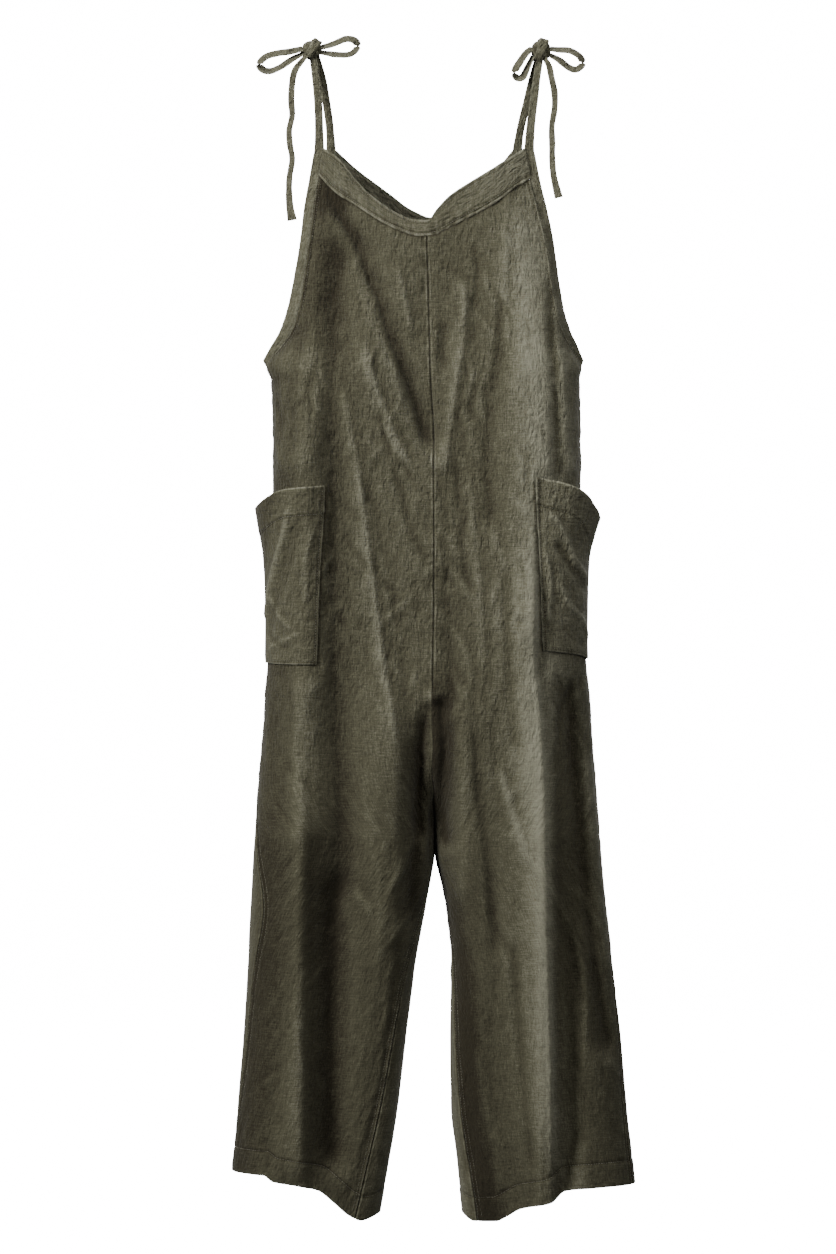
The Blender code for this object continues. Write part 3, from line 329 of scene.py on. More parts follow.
# Bows. Each path is the middle line of a flat tie; lean turns its width from front-to-back
# towards upright.
Tie = namedtuple("Tie", "x y z lean half_width")
TIES = {
    "bow_right_outer_loop": millimetres(Tie, [
        (-156.2, -1.2, 11.5, 0.25, 4), (-170, -5, 7.4, 0.45, 4.6), (-185.4, -7, 4.9, 0.5, 4.8),
        (-198.9, -8, 0.6, 0.5, 4.8), (-206.6, -8, -8, 0.45, 4.8), (-202, -8, -15.2, 0.4, 4.8),
        (-192.8, -7, -16.5, 0.4, 4.8), (-180.6, -6, -11.2, 0.4, 4.6), (-166, -3.5, -1.2, 0.35, 4.4),
        (-156.2, -1, 6, 0.2, 3.6),
    ], plain=("lean",)),
    "bow_right_inner_loop": millimetres(Tie, [
        (-129.2, -1.2, 12.8, 0.35, 4), (-117.1, -4.5, 16.5, 0.45, 4.4), (-101.3, -6, 22.6, 0.5, 4.6),
        (-90.5, -6.5, 20.5, 0.45, 4.6), (-87.2, -6.5, 13, 0.45, 4.6), (-93, -6, 5.8, 0.4, 4.6),
        (-101.3, -5, 3.4, 0.4, 4.6), (-115, -3.5, 4, 0.35, 4.4), (-129.2, -1.2, 7, 0.3, 4),
    ], plain=("lean",)),
    "tie_end_right": millimetres(Tie, [
        (-148.4, -6, 3.2, 0.8, 2.8), (-156, -10, -6, 1.2, 3.4), (-163, -11.5, -16, 1.3, 3.8),
        (-166.4, -11, -30, 1.35, 3.8), (-167.8, -11, -52, 1.3, 3.6), (-166.6, -11.5, -71, 1.15, 3.6),
        (-170.2, -12, -89, 1.2, 3.6), (-169.4, -12, -106, 1.3, 3.6), (-166.6, -12.5, -125, 1.25, 3.6),
        (-169.8, -13, -146, 1.2, 3.6), (-170.4, -13, -165, 1.3, 3.8), (-169.2, -13, -183, 1.4, 4.4),
        (-166.5, -13, -199, 1.45, 5.4),
    ], plain=("lean",)),
    "bow_left_inner_loop": millimetres(Tie, [
        (123.8, -1.2, 12, 0.35, 4), (118, -4.5, 5, 0.4, 4.4), (111, -6, -5, 0.45, 4.6),
        (104.5, -7, -16.8, 0.45, 4.6), (106.8, -7, -24.6, 0.4, 4.6), (114, -6, -24, 0.4, 4.4),
        (119.5, -4, -13, 0.35, 4.2), (123.6, -1, 3, 0.2, 3.6),
    ], plain=("lean",)),
    "bow_left_outer_loop": millimetres(Tie, [
        (149.6, -1.2, 11.2, 0.35, 4), (160, -4.5, 9.5, 0.4, 4.4), (172.2, -6, 8.2, 0.45, 4.6),
        (183.8, -7, 1, 0.45, 4.6), (186.8, -7, -8, 0.45, 4.6), (180, -7, -14.5, 0.4, 4.6),
        (171, -6, -12.5, 0.4, 4.6), (159, -4, -3, 0.35, 4.4), (149.6, -1, 4.2, 0.2, 3.6),
    ], plain=("lean",)),
    "tie_end_left": millimetres(Tie, [
        (140.8, -5.3, -0.8, 0.8, 2.8), (146.2, -9.8, -11, 1.2, 3.4), (149, -10.8, -24, 1.3, 3.8),
        (152.8, -11, -43, 1.35, 3.8), (153, -11, -62, 1.3, 3.6), (149.6, -11.5, -84, 1.15, 3.6),
        (150, -12, -105, 1.25, 3.6), (150, -12.5, -124, 1.3, 3.8), (152, -13, -146, 1.35, 4),
        (158, -13, -171.5, 1.4, 5),
    ], plain=("lean",)),
}

# The tie that wraps each knot: its lean, how far it sits off the knot's middle, half its width,
# and the tip that stands on top (x, y, z and half sizes).
Wrap = namedtuple("Wrap", "lean shift half_width tip")
WRAPS = {
    RIGHT: Wrap(-0.55, 0.0010, 0.0052, (-0.1388, -0.0010, 0.0192, 0.0050, 0.0044, 0.0042)),
    LEFT: Wrap(-0.30, 0.0000, 0.0056, (0.1376, -0.0010, 0.0196, 0.0056, 0.0044, 0.0044)),
}

# How far the plain cloth stands out (plus) or hangs back from one side to the other.
Hang = namedtuple("Hang", "x out")
TORSO_HANG = millimetres(Hang, [
    (-200, 0), (-178, 8), (-152, 14), (-125, 4), (-100, -4), (-70, -7), (-30, -8), (0, -7), (30, -6),
    (60, -3.5), (90, 2), (115, 8.6), (128, 11.1), (148, 13.6), (170, 12.7), (190, 6),
])
LEG_HANG = millimetres(Hang, [
    (-230, 0), (-205, 6), (-175, 5), (-155, 6), (-140, 1), (-120, -5), (-100, -6), (-80, -2), (-58, 4),
    (-42, 6), (-20, 0), (20, 0), (42, 8), (60, 4), (82, -1), (102, 0), (122, 5), (137, 10), (145, 10),
    (157, 1), (172, -3), (195, 1), (220, 0),
])
BACK_HANG = millimetres(Hang, [
    (-200, 0), (-150, 5), (-100, 0), (-50, -3), (0, -5), (60, -3), (100, 2), (135, 4), (200, 0),
])

# How much painted light (plus) or painted shade (minus) the front gets from one side to the other.
Fade = namedtuple("Fade", "x amount")
TORSO_PAINTED_LIGHT = millimetres(Fade, [
    (-200, -0.4), (-165, -0.3), (-140, -0.5), (-105, -0.35), (-80, -0.1), (-30, 0.0), (0, -0.15),
    (40, -0.35), (75, -0.3), (100, 0.35), (122, 1.25), (145, 0.8), (170, 0.35), (200, 0.0),
], plain=("amount",))
LEG_PAINTED_LIGHT = millimetres(Fade, [
    (-230, -0.3), (-195, -0.25), (-165, -0.05), (-145, -0.3), (-118, -0.6), (-98, -0.4), (-72, -0.25),
    (-50, -0.25), (-28, -0.5), (0, -0.9), (30, -0.75), (55, -0.45), (82, -0.1), (108, 0.4), (130, 1.1),
    (144, 0.8), (156, -0.2), (178, 0.2), (205, 0.9), (230, 0.6),
], plain=("amount",))

# Creases across the pockets, by length round from the side seam (minus is the front) and height.
POCKET_CREASES = {
    RIGHT: folds({
        "a": (4, 7.5, 4.5, 14, (-52, -545), (-45, -583), (-26, -645), (-12, -690)),
        "b": (-3, 4, 7, 14, (-64, -560), (-56, -610), (-40, -660), (-26, -705)),
        "e": (1.8, 4.5, 4, 12, (-22, -650), (-40, -682), (-64, -700)),
        "f": (-1.6, 4, 4.5, 12, (-20, -694), (-38, -712), (-60, -722)),
        "g": (2, 4, 4, 10, (-76, -575), (-70, -620), (-74, -668)),
        "c": (1.8, 4, 6, 10, (-70, -700), (-45, -712), (-20, -722)),
        "d": (1.2, 5, 5, 12, (20, -580), (32, -630), (36, -680)),
    }),
    LEFT: folds({
        "a": (3.4, 8.5, 6, 18, (-70, -550), (-52, -580), (-36, -616), (-12, -640)),
        "b": (-3.4, 4, 6, 12, (-64, -590), (-44, -622), (-22, -652)),
        "c": (2.4, 7, 6, 18, (-62, -636), (-46, -668), (-30, -684), (-8, -712)),
        "e": (-2.4, 4.5, 4.5, 10, (-60, -690), (-44, -706), (-24, -718)),
        "f": (2, 4.5, 4, 10, (-74, -600), (-70, -640), (-74, -690)),
        "d": (1.2, 5, 5, 12, (20, -580), (32, -630), (40, -690)),
    }),
}


def smooth(value):
    """0 up to 0, 1 from 1, and a soft step between them."""
    value = np.clip(value, 0.0, 1.0)
    return value * value * (3.0 - 2.0 * value)


def eased(xs, ys, x):
    """Values at x on the smooth, non-overshooting curve through the points, with xs rising."""
    xs, ys, x = np.asarray(xs, float), np.asarray(ys, float), np.asarray(x, float)
    x = np.clip(x, xs[0], xs[-1])
    slope = np.diff(ys) / np.diff(xs)
    tangent = np.zeros(len(xs))
    tangent[0], tangent[-1] = slope[0], slope[-1]
    product = slope[:-1] * slope[1:]
    total = slope[:-1] + slope[1:]
    tangent[1:-1] = np.where(product > 0, 2 * product / np.where(total == 0, 1, total), 0.0)
    i = np.clip(np.searchsorted(xs, x, side="right") - 1, 0, len(xs) - 2)
    span = xs[i + 1] - xs[i]
    t = (x - xs[i]) / span
    return (ys[i] * (1 + 2 * t) * (1 - t) ** 2 + tangent[i] * span * t * (1 - t) ** 2
            + ys[i + 1] * t * t * (3 - 2 * t) + tangent[i + 1] * span * t * t * (t - 1))


def read_off(table, key, column, value):
    """A column of a table where its key column, which rises down the table, has the value."""
    return eased([getattr(row, key) for row in table], [getattr(row, column) for row in table], value)


def at_height(table, column, z):
    """A column of a table that runs from the top of the garment down, at height z."""
    return read_off(table[::-1], "z", column, z)


def edge_height(edge, x):
    """Height of an edge across the garment at x."""
    return read_off(edge, "x", "z", x)


def named(side):
    """The side as the nodes' names give it."""
    return "right" if side == RIGHT else "left"


# The body's plain form, worked out once at close heights and read off in between.
LEVEL_STEP = 0.0025
LEVELS = np.arange(-0.0950, -1.4400, -LEVEL_STEP)
SPOTS = 161
SPREAD = np.linspace(0.0, 1.0, SPOTS)


def evenly(x, y, lengths):
    """Points of a line at the lengths along it that the function lengths gives."""
    run = np.concatenate([[0.0], np.cumsum(np.hypot(np.diff(x), np.diff(y)))])
    wanted = lengths(run)
    wanted = np.where(wanted > run[-1], wanted - run[-1], wanted)
    return np.interp(wanted, run, x), np.interp(wanted, run, y)


def body_level(side, z):
    """Front and back line of one half of the body at height z, each as SPOTS points.

    The torso is an open half round, each leg a closed one, and the rise goes over from one to the other.
    """
    def at(table, column):
        return float(at_height(table, column, z))
    half_seam = 0.00015
    inner = at(SECTIONS, named(side) + "_in") + side * half_seam
    outer = at(SECTIONS, named(side))
    depths = {FRONT: at(SECTIONS, "front"), BACK: at(SECTIONS, "back")}
    blend = min(1.0, max(0.0, (RISE_TOP - z) / (RISE_TOP - CROTCH))) ** 2
    lines = {}
    if blend < 1.0:
        seam_y, back_in = (at(ARMHOLES, column) if z > UNDERARM else 0.0 for column in ("seam_y", "back_in"))
        power = 1.0 + (1.0 / ROUNDNESS - 1.0) * float(smooth((-0.250 - z) / 0.150))
        turn = np.linspace(0.0, math.pi / 2, 121)
        for face in (FRONT, BACK):
            reach = outer - (side * back_in if face == BACK else 0.0)
            x = inner + (reach - inner) * np.sin(turn) ** (2 / ROUNDNESS)
            out = np.clip(np.cos(turn), 0.0, 1.0) ** (2 * power)
            y = face * (seam_y + (depths[face] - seam_y) * out)
            lines[face] = evenly(x, y, lambda run: SPREAD * run[-1])
    if blend > 0.0:
        turn = np.linspace(0.0, 2 * math.pi, 481)
        c, s = np.cos(turn), np.sin(turn)
        x = (inner + outer) / 2 - (outer - inner) / 2 * np.sign(c) * np.abs(c) ** (2 / ROUNDNESS)
        y = -np.sign(s) * np.abs(s) ** (2 / ROUNDNESS) * np.where(s > 0, depths[FRONT], depths[BACK])
        side_turn, inseam = (at(TURNS, named(side) + seam) for seam in ("_side", "_inseam"))
        for face in (FRONT, BACK):
            def lengths(run, face=face):
                side_at = run[len(run) // 2] - side_turn
                if face == FRONT:
                    return inseam + SPREAD * (side_at - inseam)
                return run[-1] + inseam - SPREAD * (run[-1] + inseam - side_at)
            leg = evenly(x, y, lengths)
            if face in lines:
                leg = tuple(a + (b - a) * blend for a, b in zip(lines[face], leg))
            lines[face] = leg
    return lines


FORM = {}
for _side in (RIGHT, LEFT):
    _levels = [body_level(_side, float(z)) for z in LEVELS]
    for _face in (FRONT, BACK):
        _x = np.array([level[_face][0] for level in _levels])
        _y = np.array([level[_face][1] for level in _levels])
        _run = np.hypot(np.diff(_x, axis=1), np.diff(_y, axis=1)).sum(axis=1)
        FORM[_side, _face] = (_x, _y, _run)


def form(side, face, u, z):
    """x and y of the plain form at column share u and height z."""
    xs, ys, _ = FORM[side, face]
    u, z = np.broadcast_arrays(np.asarray(u, float), np.asarray(z, float))
    level = np.clip((LEVELS[0] - z) / LEVEL_STEP, 0, len(LEVELS) - 1.001)
    spot = np.clip(u * (SPOTS - 1), 0, SPOTS - 1.001)
    j, i = level.astype(int), spot.astype(int)
    a, b = level - j, spot - i

    def read(grid):
        return ((grid[j, i] * (1 - b) + grid[j, i + 1] * b) * (1 - a)
                + (grid[j + 1, i] * (1 - b) + grid[j + 1, i + 1] * b) * a)
    return read(xs), read(ys)


def girth(side, face, z):
    """Length of cloth across one panel at height z."""
    return np.interp(-np.asarray(z, float), -LEVELS, FORM[side, face][2])


def across(side, face, u, z):
    """Length of cloth round the body from the centre front, minus on the wearer's right."""
    if face == FRONT:
        return side * u * girth(side, FRONT, z)
    return side * (girth(side, FRONT, z) + (1 - u) * girth(side, BACK, z))


def rounded(points, steps):
    """Rows of numbers carried along a rounded line. steps says how many steps a span's length takes."""
    p = np.array(points, float)
    p = np.vstack([2 * p[0] - p[1], p, 2 * p[-1] - p[-2]])
    out = []
    for i in range(1, len(p) - 2):
        count = steps(np.linalg.norm(p[i + 1, :3] - p[i, :3]))
        for t in np.linspace(0, 1, count, endpoint=False):
            out.append(0.5 * (2 * p[i] + (p[i + 1] - p[i - 1]) * t
                              + (2 * p[i - 1] - 5 * p[i] + 4 * p[i + 1] - p[i + 2]) * t ** 2
                              + (3 * p[i] - p[i - 1] - 3 * p[i + 1] + p[i + 2]) * t ** 3))
    out.append(p[-2])
    return np.array(out)


def fold_field(creases, x, z):
    """Height that the folds give at each x and z."""
    reach_of, blunt, narrow = 2.4, 0.12, 1.35
    total = np.zeros(x.shape)
    for fold in creases:
        line = rounded(fold.path, lambda length: 6)
        if fold.height < 0:
            line = line + np.array([0.5 * fold.left, 0.0])
        reach = reach_of * max(fold.left, fold.right)
        near = ((x > line[:, 0].min() - reach) & (x < line[:, 0].max() + reach)
                & (z > line[:, 1].min() - reach) & (z < line[:, 1].max() + reach))
        if not near.any():
            continue
        px, pz = x[near][:, None], z[near][:, None]
        a, d = line[:-1], np.diff(line, axis=0)
        span = np.hypot(d[:, 0], d[:, 1])
        t = np.clip(((px - a[:, 0]) * d[:, 0] + (pz - a[:, 1]) * d[:, 1]) / span ** 2, 0, 1)
        qx, qz = px - a[:, 0] - t * d[:, 0], pz - a[:, 1] - t * d[:, 1]
        distance = np.hypot(qx, qz)
        best = distance.argmin(axis=1)
        pick = np.arange(len(best))
        away = distance[pick, best]
        turn = -d[best, 1] * qx[pick, best] + d[best, 0] * qz[pick, best]
        width = np.where(turn < 0, fold.left, fold.right)
        starts = np.concatenate([[0.0], np.cumsum(span)])
        run = starts[best] + t[pick, best] * span[best]
        fade = smooth(run / fold.fade) * smooth((starts[-1] - run) / fold.fade)
        step = away / width
        away_from = np.sqrt(step * step + blunt) - math.sqrt(blunt)
        crest = np.exp(-narrow * away_from - 0.5 * step * step)
        total[near] += fold.height * crest * fade
    return total


def noise(x, y, seed):
    """Smooth noise from -1 to 1, one step for each whole number."""
    x0, y0 = np.floor(x).astype(np.int64), np.floor(y).astype(np.int64)
    fx, fy = smooth(x - x0), smooth(y - y0)

    def corner(i, j):
        h = (i * 374761393 + j * 668265263 + seed * 1442695041) & 0xFFFFFFFF
        h = ((h ^ (h >> 13)) * 1274126177) & 0xFFFFFFFF
        return ((h ^ (h >> 16)) & 0xFFFF) / 32767.5 - 1.0
    low = corner(x0, y0) * (1 - fx) + corner(x0 + 1, y0) * fx
    high = corner(x0, y0 + 1) * (1 - fx) + corner(x0 + 1, y0 + 1) * fx
    return low * (1 - fy) + high * fy


def bell(distance, width):
    """1 at no distance, falling away on both sides."""
    return np.exp(-(distance / width) ** 2)


def ribs(distance, *rows):
    """Lines that run along an edge. Each row is a line's strength, how far in it lies, and its width."""
    return sum(strength * bell(distance - inset, width) for strength, inset, width in rows)


def rucks(along, coarse, fine, lanes, seed):
    """Puckers along a seam: noise at a coarse step with half as much at a fine one."""
    return (noise(along / coarse, np.full_like(along, lanes[0]), seed)
            + 0.5 * noise(along / fine, np.full_like(along, lanes[1]), seed + 1))


def strokes(count, seed, low, high, spread, lengths, heights, widths):
    """Many small creases, set down by a seeded hand: mostly upright, each bent a little."""
    rng = np.random.default_rng(seed)
    made = []
    for _ in range(count):
        x = rng.uniform(low[0], high[0])
        z = rng.uniform(low[1], high[1])
        lean = rng.normal(0.0, spread)
        length = rng.uniform(*lengths)
        bend = rng.normal(0.0, 0.10) * length
        dx, dz = math.sin(lean) * length / 2, math.cos(lean) * length / 2
        height = rng.uniform(*heights) * (1 if rng.random() < 0.5 else -1)
        path = [(x - dx, z + dz), (x + bend, z), (x + dx, z - dz)]
        made.append(Fold(height, rng.uniform(*widths), rng.uniform(*widths), length * 0.4, path))
    return made


def pocket_share(x, z):
    """1 under the pockets, easing to 0 round them."""
    return smooth((np.abs(x) - 0.124) / 0.012) * smooth((-0.492 - z) / 0.030) * smooth((z + 0.770) / 0.030)


def sag(face, x, z):
    """How the cloth hangs back between its side ridges, and stands out along them."""
    if face == BACK:
        return read_off(BACK_HANG, "x", "out", x) * smooth((-0.20 - z) / 0.12)
    down = smooth((-0.70 - z) / 0.18)
    start = np.where(x < 0, smooth((-0.32 - z) / 0.20), smooth((-0.19 - z) / 0.14))
    start = start + (smooth((-0.19 - z) / 0.14) - start) * smooth((x + 0.05) / 0.05)
    torso, legs = (read_off(table, "x", "out", x) for table in (TORSO_HANG, LEG_HANG))
    return (torso * (1 - down) + legs * down) * start


def fold_depth(face, x, z):
    """How far the folds and the hang lift the cloth off its plain form."""
    return fold_field(FOLDS[face], x, z) * (1.0 - 0.75 * pocket_share(x, z)) + sag(face, x, z)


def painted_fold_light(face, x, z):
    """Painted highlight on large folds' crests (plus) and painted shade in their valleys (minus); on the
    front, also the painted light and shade from the tables across it.
    """
    tone = 0.85 * np.clip(fold_field(FOLDS[face], x, z) / 0.0085, -1.0, 1.0)
    if face == BACK:
        return tone
    lean = 0.11 * np.clip(z + 1.0, -0.5, 0.0) * np.sign(x)
    shift = 0.014 * smooth((-0.30 - z) / 0.20) * smooth(x / 0.06)
    torso = read_off(TORSO_PAINTED_LIGHT, "x", "amount", x - shift)
    legs = read_off(LEG_PAINTED_LIGHT, "x", "amount", x + lean)
    down = smooth((-0.74 - z) / 0.14)
    return tone * 0.5 + 0.42 * (torso * (1 - down) + legs * down)


def folded(side, face, u, z):
    """Form with its large folds, as an array of points.

    The legs' inner faces are a little crooked, and the back's centre seam runs a little to the left,
    so that no light comes through between the two sides.
    """
    x, y = form(side, face, u, z)
    _, z = np.broadcast_arrays(x, np.asarray(z, float))
    front = fold_depth(FRONT, x, z) * smooth((-y - 0.004) / 0.030)
    back = fold_depth(BACK, x, z) * smooth((y - 0.004) / 0.030)
    between = smooth((0.032 - np.abs(x - 0.006)) / 0.020)
    between = between * smooth((-0.755 - z) / 0.020) * smooth((z + 1.000) / 0.030)
    x = x + 0.0010 * np.sin(y / 0.0035) * between
    x = x + 0.0030 * smooth(y / 0.030) * smooth((0.040 - np.abs(x)) / 0.035) * smooth((z + 0.780) / 0.030)
    return np.stack([x, y - front + back, z], axis=-1)


def grid_normals(points, flip):
    """Outward unit normals of a grid of points with rows down and columns across."""
    down = np.gradient(points, axis=0)
    along = np.gradient(points, axis=1)
    return unit(np.cross(down, along) * (-1.0 if flip else 1.0))


def blurred(grid, times):
    """The grid with each value evened out towards its four neighbours."""
    for _ in range(times):
        padded = np.pad(grid, 1, mode="edge")
        grid = (padded[1:-1, 1:-1] * 4 + padded[:-2, 1:-1] + padded[2:, 1:-1]
                + padded[1:-1, :-2] + padded[1:-1, 2:]) / 8
    return grid


def crest_map(points, normals):
    """Where the cloth stands out in a ridge (to 1) or lies in a trough (to -1): a painted highlight on ridges
    and painted shade in troughs.
    """
    padded = np.pad(points, ((3, 3), (3, 3), (0, 0)), mode="reflect", reflect_type="odd")
    around = (padded[:-6, 3:-3] + padded[6:, 3:-3] + padded[3:-3, :-6] + padded[3:-3, 6:]) / 4
    bulge = ((points - around) * normals).sum(axis=-1)
    return 0.42 * np.clip(blurred(bulge, 3) / 0.0012, -1.0, 1.0)


def volume(verts, faces):
    """Six times the volume that the faces close in, minus where they face inwards."""
    total = 0.0
    for face in faces:
        p = verts[face]
        for k in range(1, face.shape[1] - 1):
            total += (p[:, 0] * np.cross(p[:, k], p[:, k + 1])).sum()
    return total


def gather(parts):
    """Joins pieces of raw mesh, each facing outwards: vertices, face lists, uvs, crests."""
    verts, uvs, crests, faces, start = [], [], [], [], 0
    for part_verts, part_faces, part_uvs, part_crests in parts:
        part_verts = np.asarray(part_verts, float).reshape(-1, 3)
        part_faces = [np.asarray(f, int) for f in part_faces if len(f)]
        if volume(part_verts, part_faces) < 0:
            part_faces = [f[:, ::-1] for f in part_faces]
        verts.append(part_verts)
        uvs.append(np.asarray(part_uvs, float).reshape(-1, 2))
        crests.append(np.asarray(part_crests, float).ravel())
        faces += [f + start for f in part_faces]
        start += len(verts[-1])
    return np.vstack(verts), faces, np.vstack(uvs), np.concatenate(crests)


def mesh_piece(name, parts, material, sharp=62):
    """An object made of parts, with the cloth's own coordinates and the crest attribute that carries its
    painted light and shade.
    """
    verts, faces, uvs, crests = gather(parts)
    mesh = bpy.data.meshes.new(name)
    mesh.vertices.add(len(verts))
    mesh.vertices.foreach_set("co", verts.astype(np.float32).ravel())
    loops = np.concatenate([f.ravel() for f in faces])
    totals = np.concatenate([np.full(len(f), f.shape[1]) for f in faces])
    mesh.loops.add(len(loops))
    mesh.loops.foreach_set("vertex_index", loops.astype(np.int32))
    mesh.polygons.add(len(totals))
    starts = np.concatenate([[0], np.cumsum(totals)[:-1]])
    mesh.polygons.foreach_set("loop_start", starts.astype(np.int32))
    mesh.polygons.foreach_set("loop_total", totals.astype(np.int32))
    layer = mesh.uv_layers.new(name="cloth")
    layer.data.foreach_set("uv", uvs.astype(np.float32)[loops].ravel())
    crest = mesh.attributes.new("crest", "FLOAT", "POINT")
    crest.data.foreach_set("value", crests.astype(np.float32))
    mesh.update(calc_edges=True)
    mesh.validate()
    mesh.shade_smooth()
    mesh.set_sharp_from_angle(angle=math.radians(sharp))
    mesh.materials.append(material)
    item = bpy.data.objects.new(name, mesh)
    bpy.context.scene.collection.objects.link(item)
    return item


def cloth_piece(name, parts):
    """The linen over one solid of the part."""
    item = mesh_piece(name + "_cloth", parts, linen)
    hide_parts(name)
    return item


def ring_faces(a, b, spots):
    """Faces between two rings of points that start at vertices a and b."""
    j = np.arange(spots)
    return np.stack([a + j, a + (j + 1) % spots, b + (j + 1) % spots, b + j], axis=1)


def sheet_faces(rows, columns, start, flip):
    """Faces of a grid of points that starts at vertex start."""
    r, c = np.meshgrid(np.arange(rows - 1), np.arange(columns - 1), indexing="ij")
    a = (start + r * columns + c).ravel()
    quad = [a, a + columns, a + columns + 1, a + 1]
    return np.stack(quad[::-1] if flip else quad, axis=1)


def shell(points, normals, thickness, flip, uv, crest, plump=0.45):
    """Closed cloth: a grid, the same grid set in by the thickness, and a rounded rim."""
    rows, columns = points.shape[:2]
    thick = np.broadcast_to(thickness, (rows, columns))[..., None]
    under = points - normals * thick
    rim = np.array([(0, c) for c in range(columns)] + [(r, columns - 1) for r in range(1, rows)]
                   + [(rows - 1, c) for c in range(columns - 2, -1, -1)]
                   + [(r, 0) for r in range(rows - 2, 0, -1)])
    out = np.zeros((rows, columns, 3))
    out[0] += points[0] - points[1]
    out[-1] += points[-1] - points[-2]
    out[:, 0] += points[:, 0] - points[:, 1]
    out[:, -1] += points[:, -1] - points[:, -2]
    out = out[rim[:, 0], rim[:, 1]]
    out /= np.maximum(np.linalg.norm(out, axis=1, keepdims=True), 1e-9)
    middle = (points + under)[rim[:, 0], rim[:, 1]] / 2 + out * thick[rim[:, 0], rim[:, 1]] * plump
    count = rows * columns
    verts = np.vstack([points.reshape(-1, 3), under.reshape(-1, 3), middle])
    faces = [sheet_faces(rows, columns, 0, flip), sheet_faces(rows, columns, count, not flip)]
    top = rim[:, 0] * columns + rim[:, 1]
    mid = 2 * count + np.arange(len(rim))
    for upper, lower in ((top, mid), (mid, top + count)):
        quad = [upper, np.roll(upper, -1), np.roll(lower, -1), lower]
        faces.append(np.stack(quad[::-1] if flip else quad, axis=1))
    flat = uv.reshape(-1, 2)
    uvs = np.vstack([flat, flat, flat[top]])
    # Painted light on the underside, which lies in shade, and a lighter rim.
    crests = np.concatenate([crest.ravel(), 0.45 - crest.ravel() * 0.4, crest.ravel()[top] + 0.20])
    return verts, faces, uvs, crests


def strip(centres, widths, normals, thickness, spots=18, flat=3.2, wobble=0.0, seed=3, dent=0.0,
          closed=False):
    """A flat sewn strip: a rounded flat section carried along a line."""
    centres, widths, normals = (np.asarray(v, float) for v in (centres, widths, normals))
    count = len(centres)
    turn = np.linspace(0, 2 * math.pi, spots, endpoint=False)
    c, s = np.cos(turn), np.sin(turn)
    wide = np.sign(c) * np.abs(c) ** (2 / flat)
    thick = np.sign(s) * np.abs(s) ** (2 / flat) * (1.0 - dent * bell(wide, 0.30))
    run = np.concatenate([[0.0], np.cumsum(np.linalg.norm(np.diff(centres, axis=0), axis=1))])
    half = np.broadcast_to(np.asarray(thickness, float), (count,)) / 2
    ruck = wobble * noise(run[:, None] / 0.0045 + 5.0, wide[None, :] * 1.2 + 9.0, seed)
    verts = (centres[:, None] + widths[:, None] * wide[None, :, None]
             + normals[:, None] * ((half[:, None] + ruck) * thick[None, :] + ruck * 0.6)[..., None])
    links = range(count if closed else count - 1)
    faces = [np.vstack([ring_faces(i * spots, ((i + 1) % count) * spots, spots) for i in links])]
    if not closed:
        last = (count - 1) * spots
        quads = [[k, k - 1, spots - k + 1, spots - k] for k in range(2, spots // 2)]
        tips = [[1, 0, spots - 1], [spots // 2, spots // 2 - 1, spots // 2 + 1]]
        faces += [np.array(quads), np.array(quads)[:, ::-1] + last,
                  np.array(tips), np.array(tips)[:, ::-1] + last]
    half_width = np.linalg.norm(widths, axis=1)
    u = wide[None, :] * half_width[:, None] + (thick < 0)[None, :] * 0.05
    uvs = np.stack([u, np.broadcast_to(run[:, None], (count, spots))], axis=-1)
    # Colour: lighter towards the edges, a painted highlight where the puckers lift the strip and painted
    # shade where they dip.
    lift = np.sign(thick)[None, :] * ruck / 0.0006
    crest = np.clip(0.50 * np.abs(wide[None, :]) ** 6 + 0.15 + 0.5 * lift, -1, 1)
    return verts, faces, uvs, crest


def unit(vectors):
    """The vectors, each with length 1."""
    return vectors / np.maximum(np.linalg.norm(vectors, axis=-1, keepdims=True), 1e-12)


def stitches(spots, normals, length=0.0021, pitch=0.0032, width=0.00055, lift=0.00028, seed=11):
    """A sewn line: short rounded threads lying along a line, each dipping in at its ends."""
    spots, normals = np.asarray(spots, float), unit(np.asarray(normals, float))
    run = np.concatenate([[0.0], np.cumsum(np.linalg.norm(np.diff(spots, axis=0), axis=1))])
    rng = np.random.default_rng(seed)
    verts, faces, uvs, crests = [], [], [], []
    at = pitch * 0.5
    ring = np.array([(-1.0, 0.0), (-0.5, 1.0), (0.5, 1.0), (1.0, 0.0)])
    start = 0
    while at + length < run[-1]:
        span = length * rng.uniform(0.85, 1.1)
        for k, share in enumerate((0.0, 0.25, 0.75, 1.0)):
            place = at + span * share
            p = np.array([np.interp(place, run, spots[:, a]) for a in range(3)])
            n = unit(np.array([np.interp(place, run, normals[:, a]) for a in range(3)]))
            if k == 0:
                q = np.array([np.interp(at + span, run, spots[:, a]) for a in range(3)])
                side_way = unit(np.cross(n, q - p))
            high = lift if k in (1, 2) else -lift * 0.6
            slim = 1.0 if k in (1, 2) else 0.6
            for w, h in ring:
                verts.append(p + side_way * w * width / 2 * slim + n * (h * lift * 0.9 + high - lift * 0.3))
                uvs.append((w * 0.002, place))
                crests.append(0.3)
        for k in range(3):
            for r in range(3):
                a = start + k * 4 + r
                faces.append((a, a + 1, a + 5, a + 4))
            faces.append((start + k * 4 + 3, start + k * 4, start + k * 4 + 4, start + k * 4 + 7))
        faces.append((start + 3, start + 2, start + 1, start))
        faces.append((start + 12, start + 13, start + 14, start + 15))
        start += 16
        at += pitch * rng.uniform(0.93, 1.07)
    return np.array(verts), [np.array(faces)], np.array(uvs), np.array(crests)


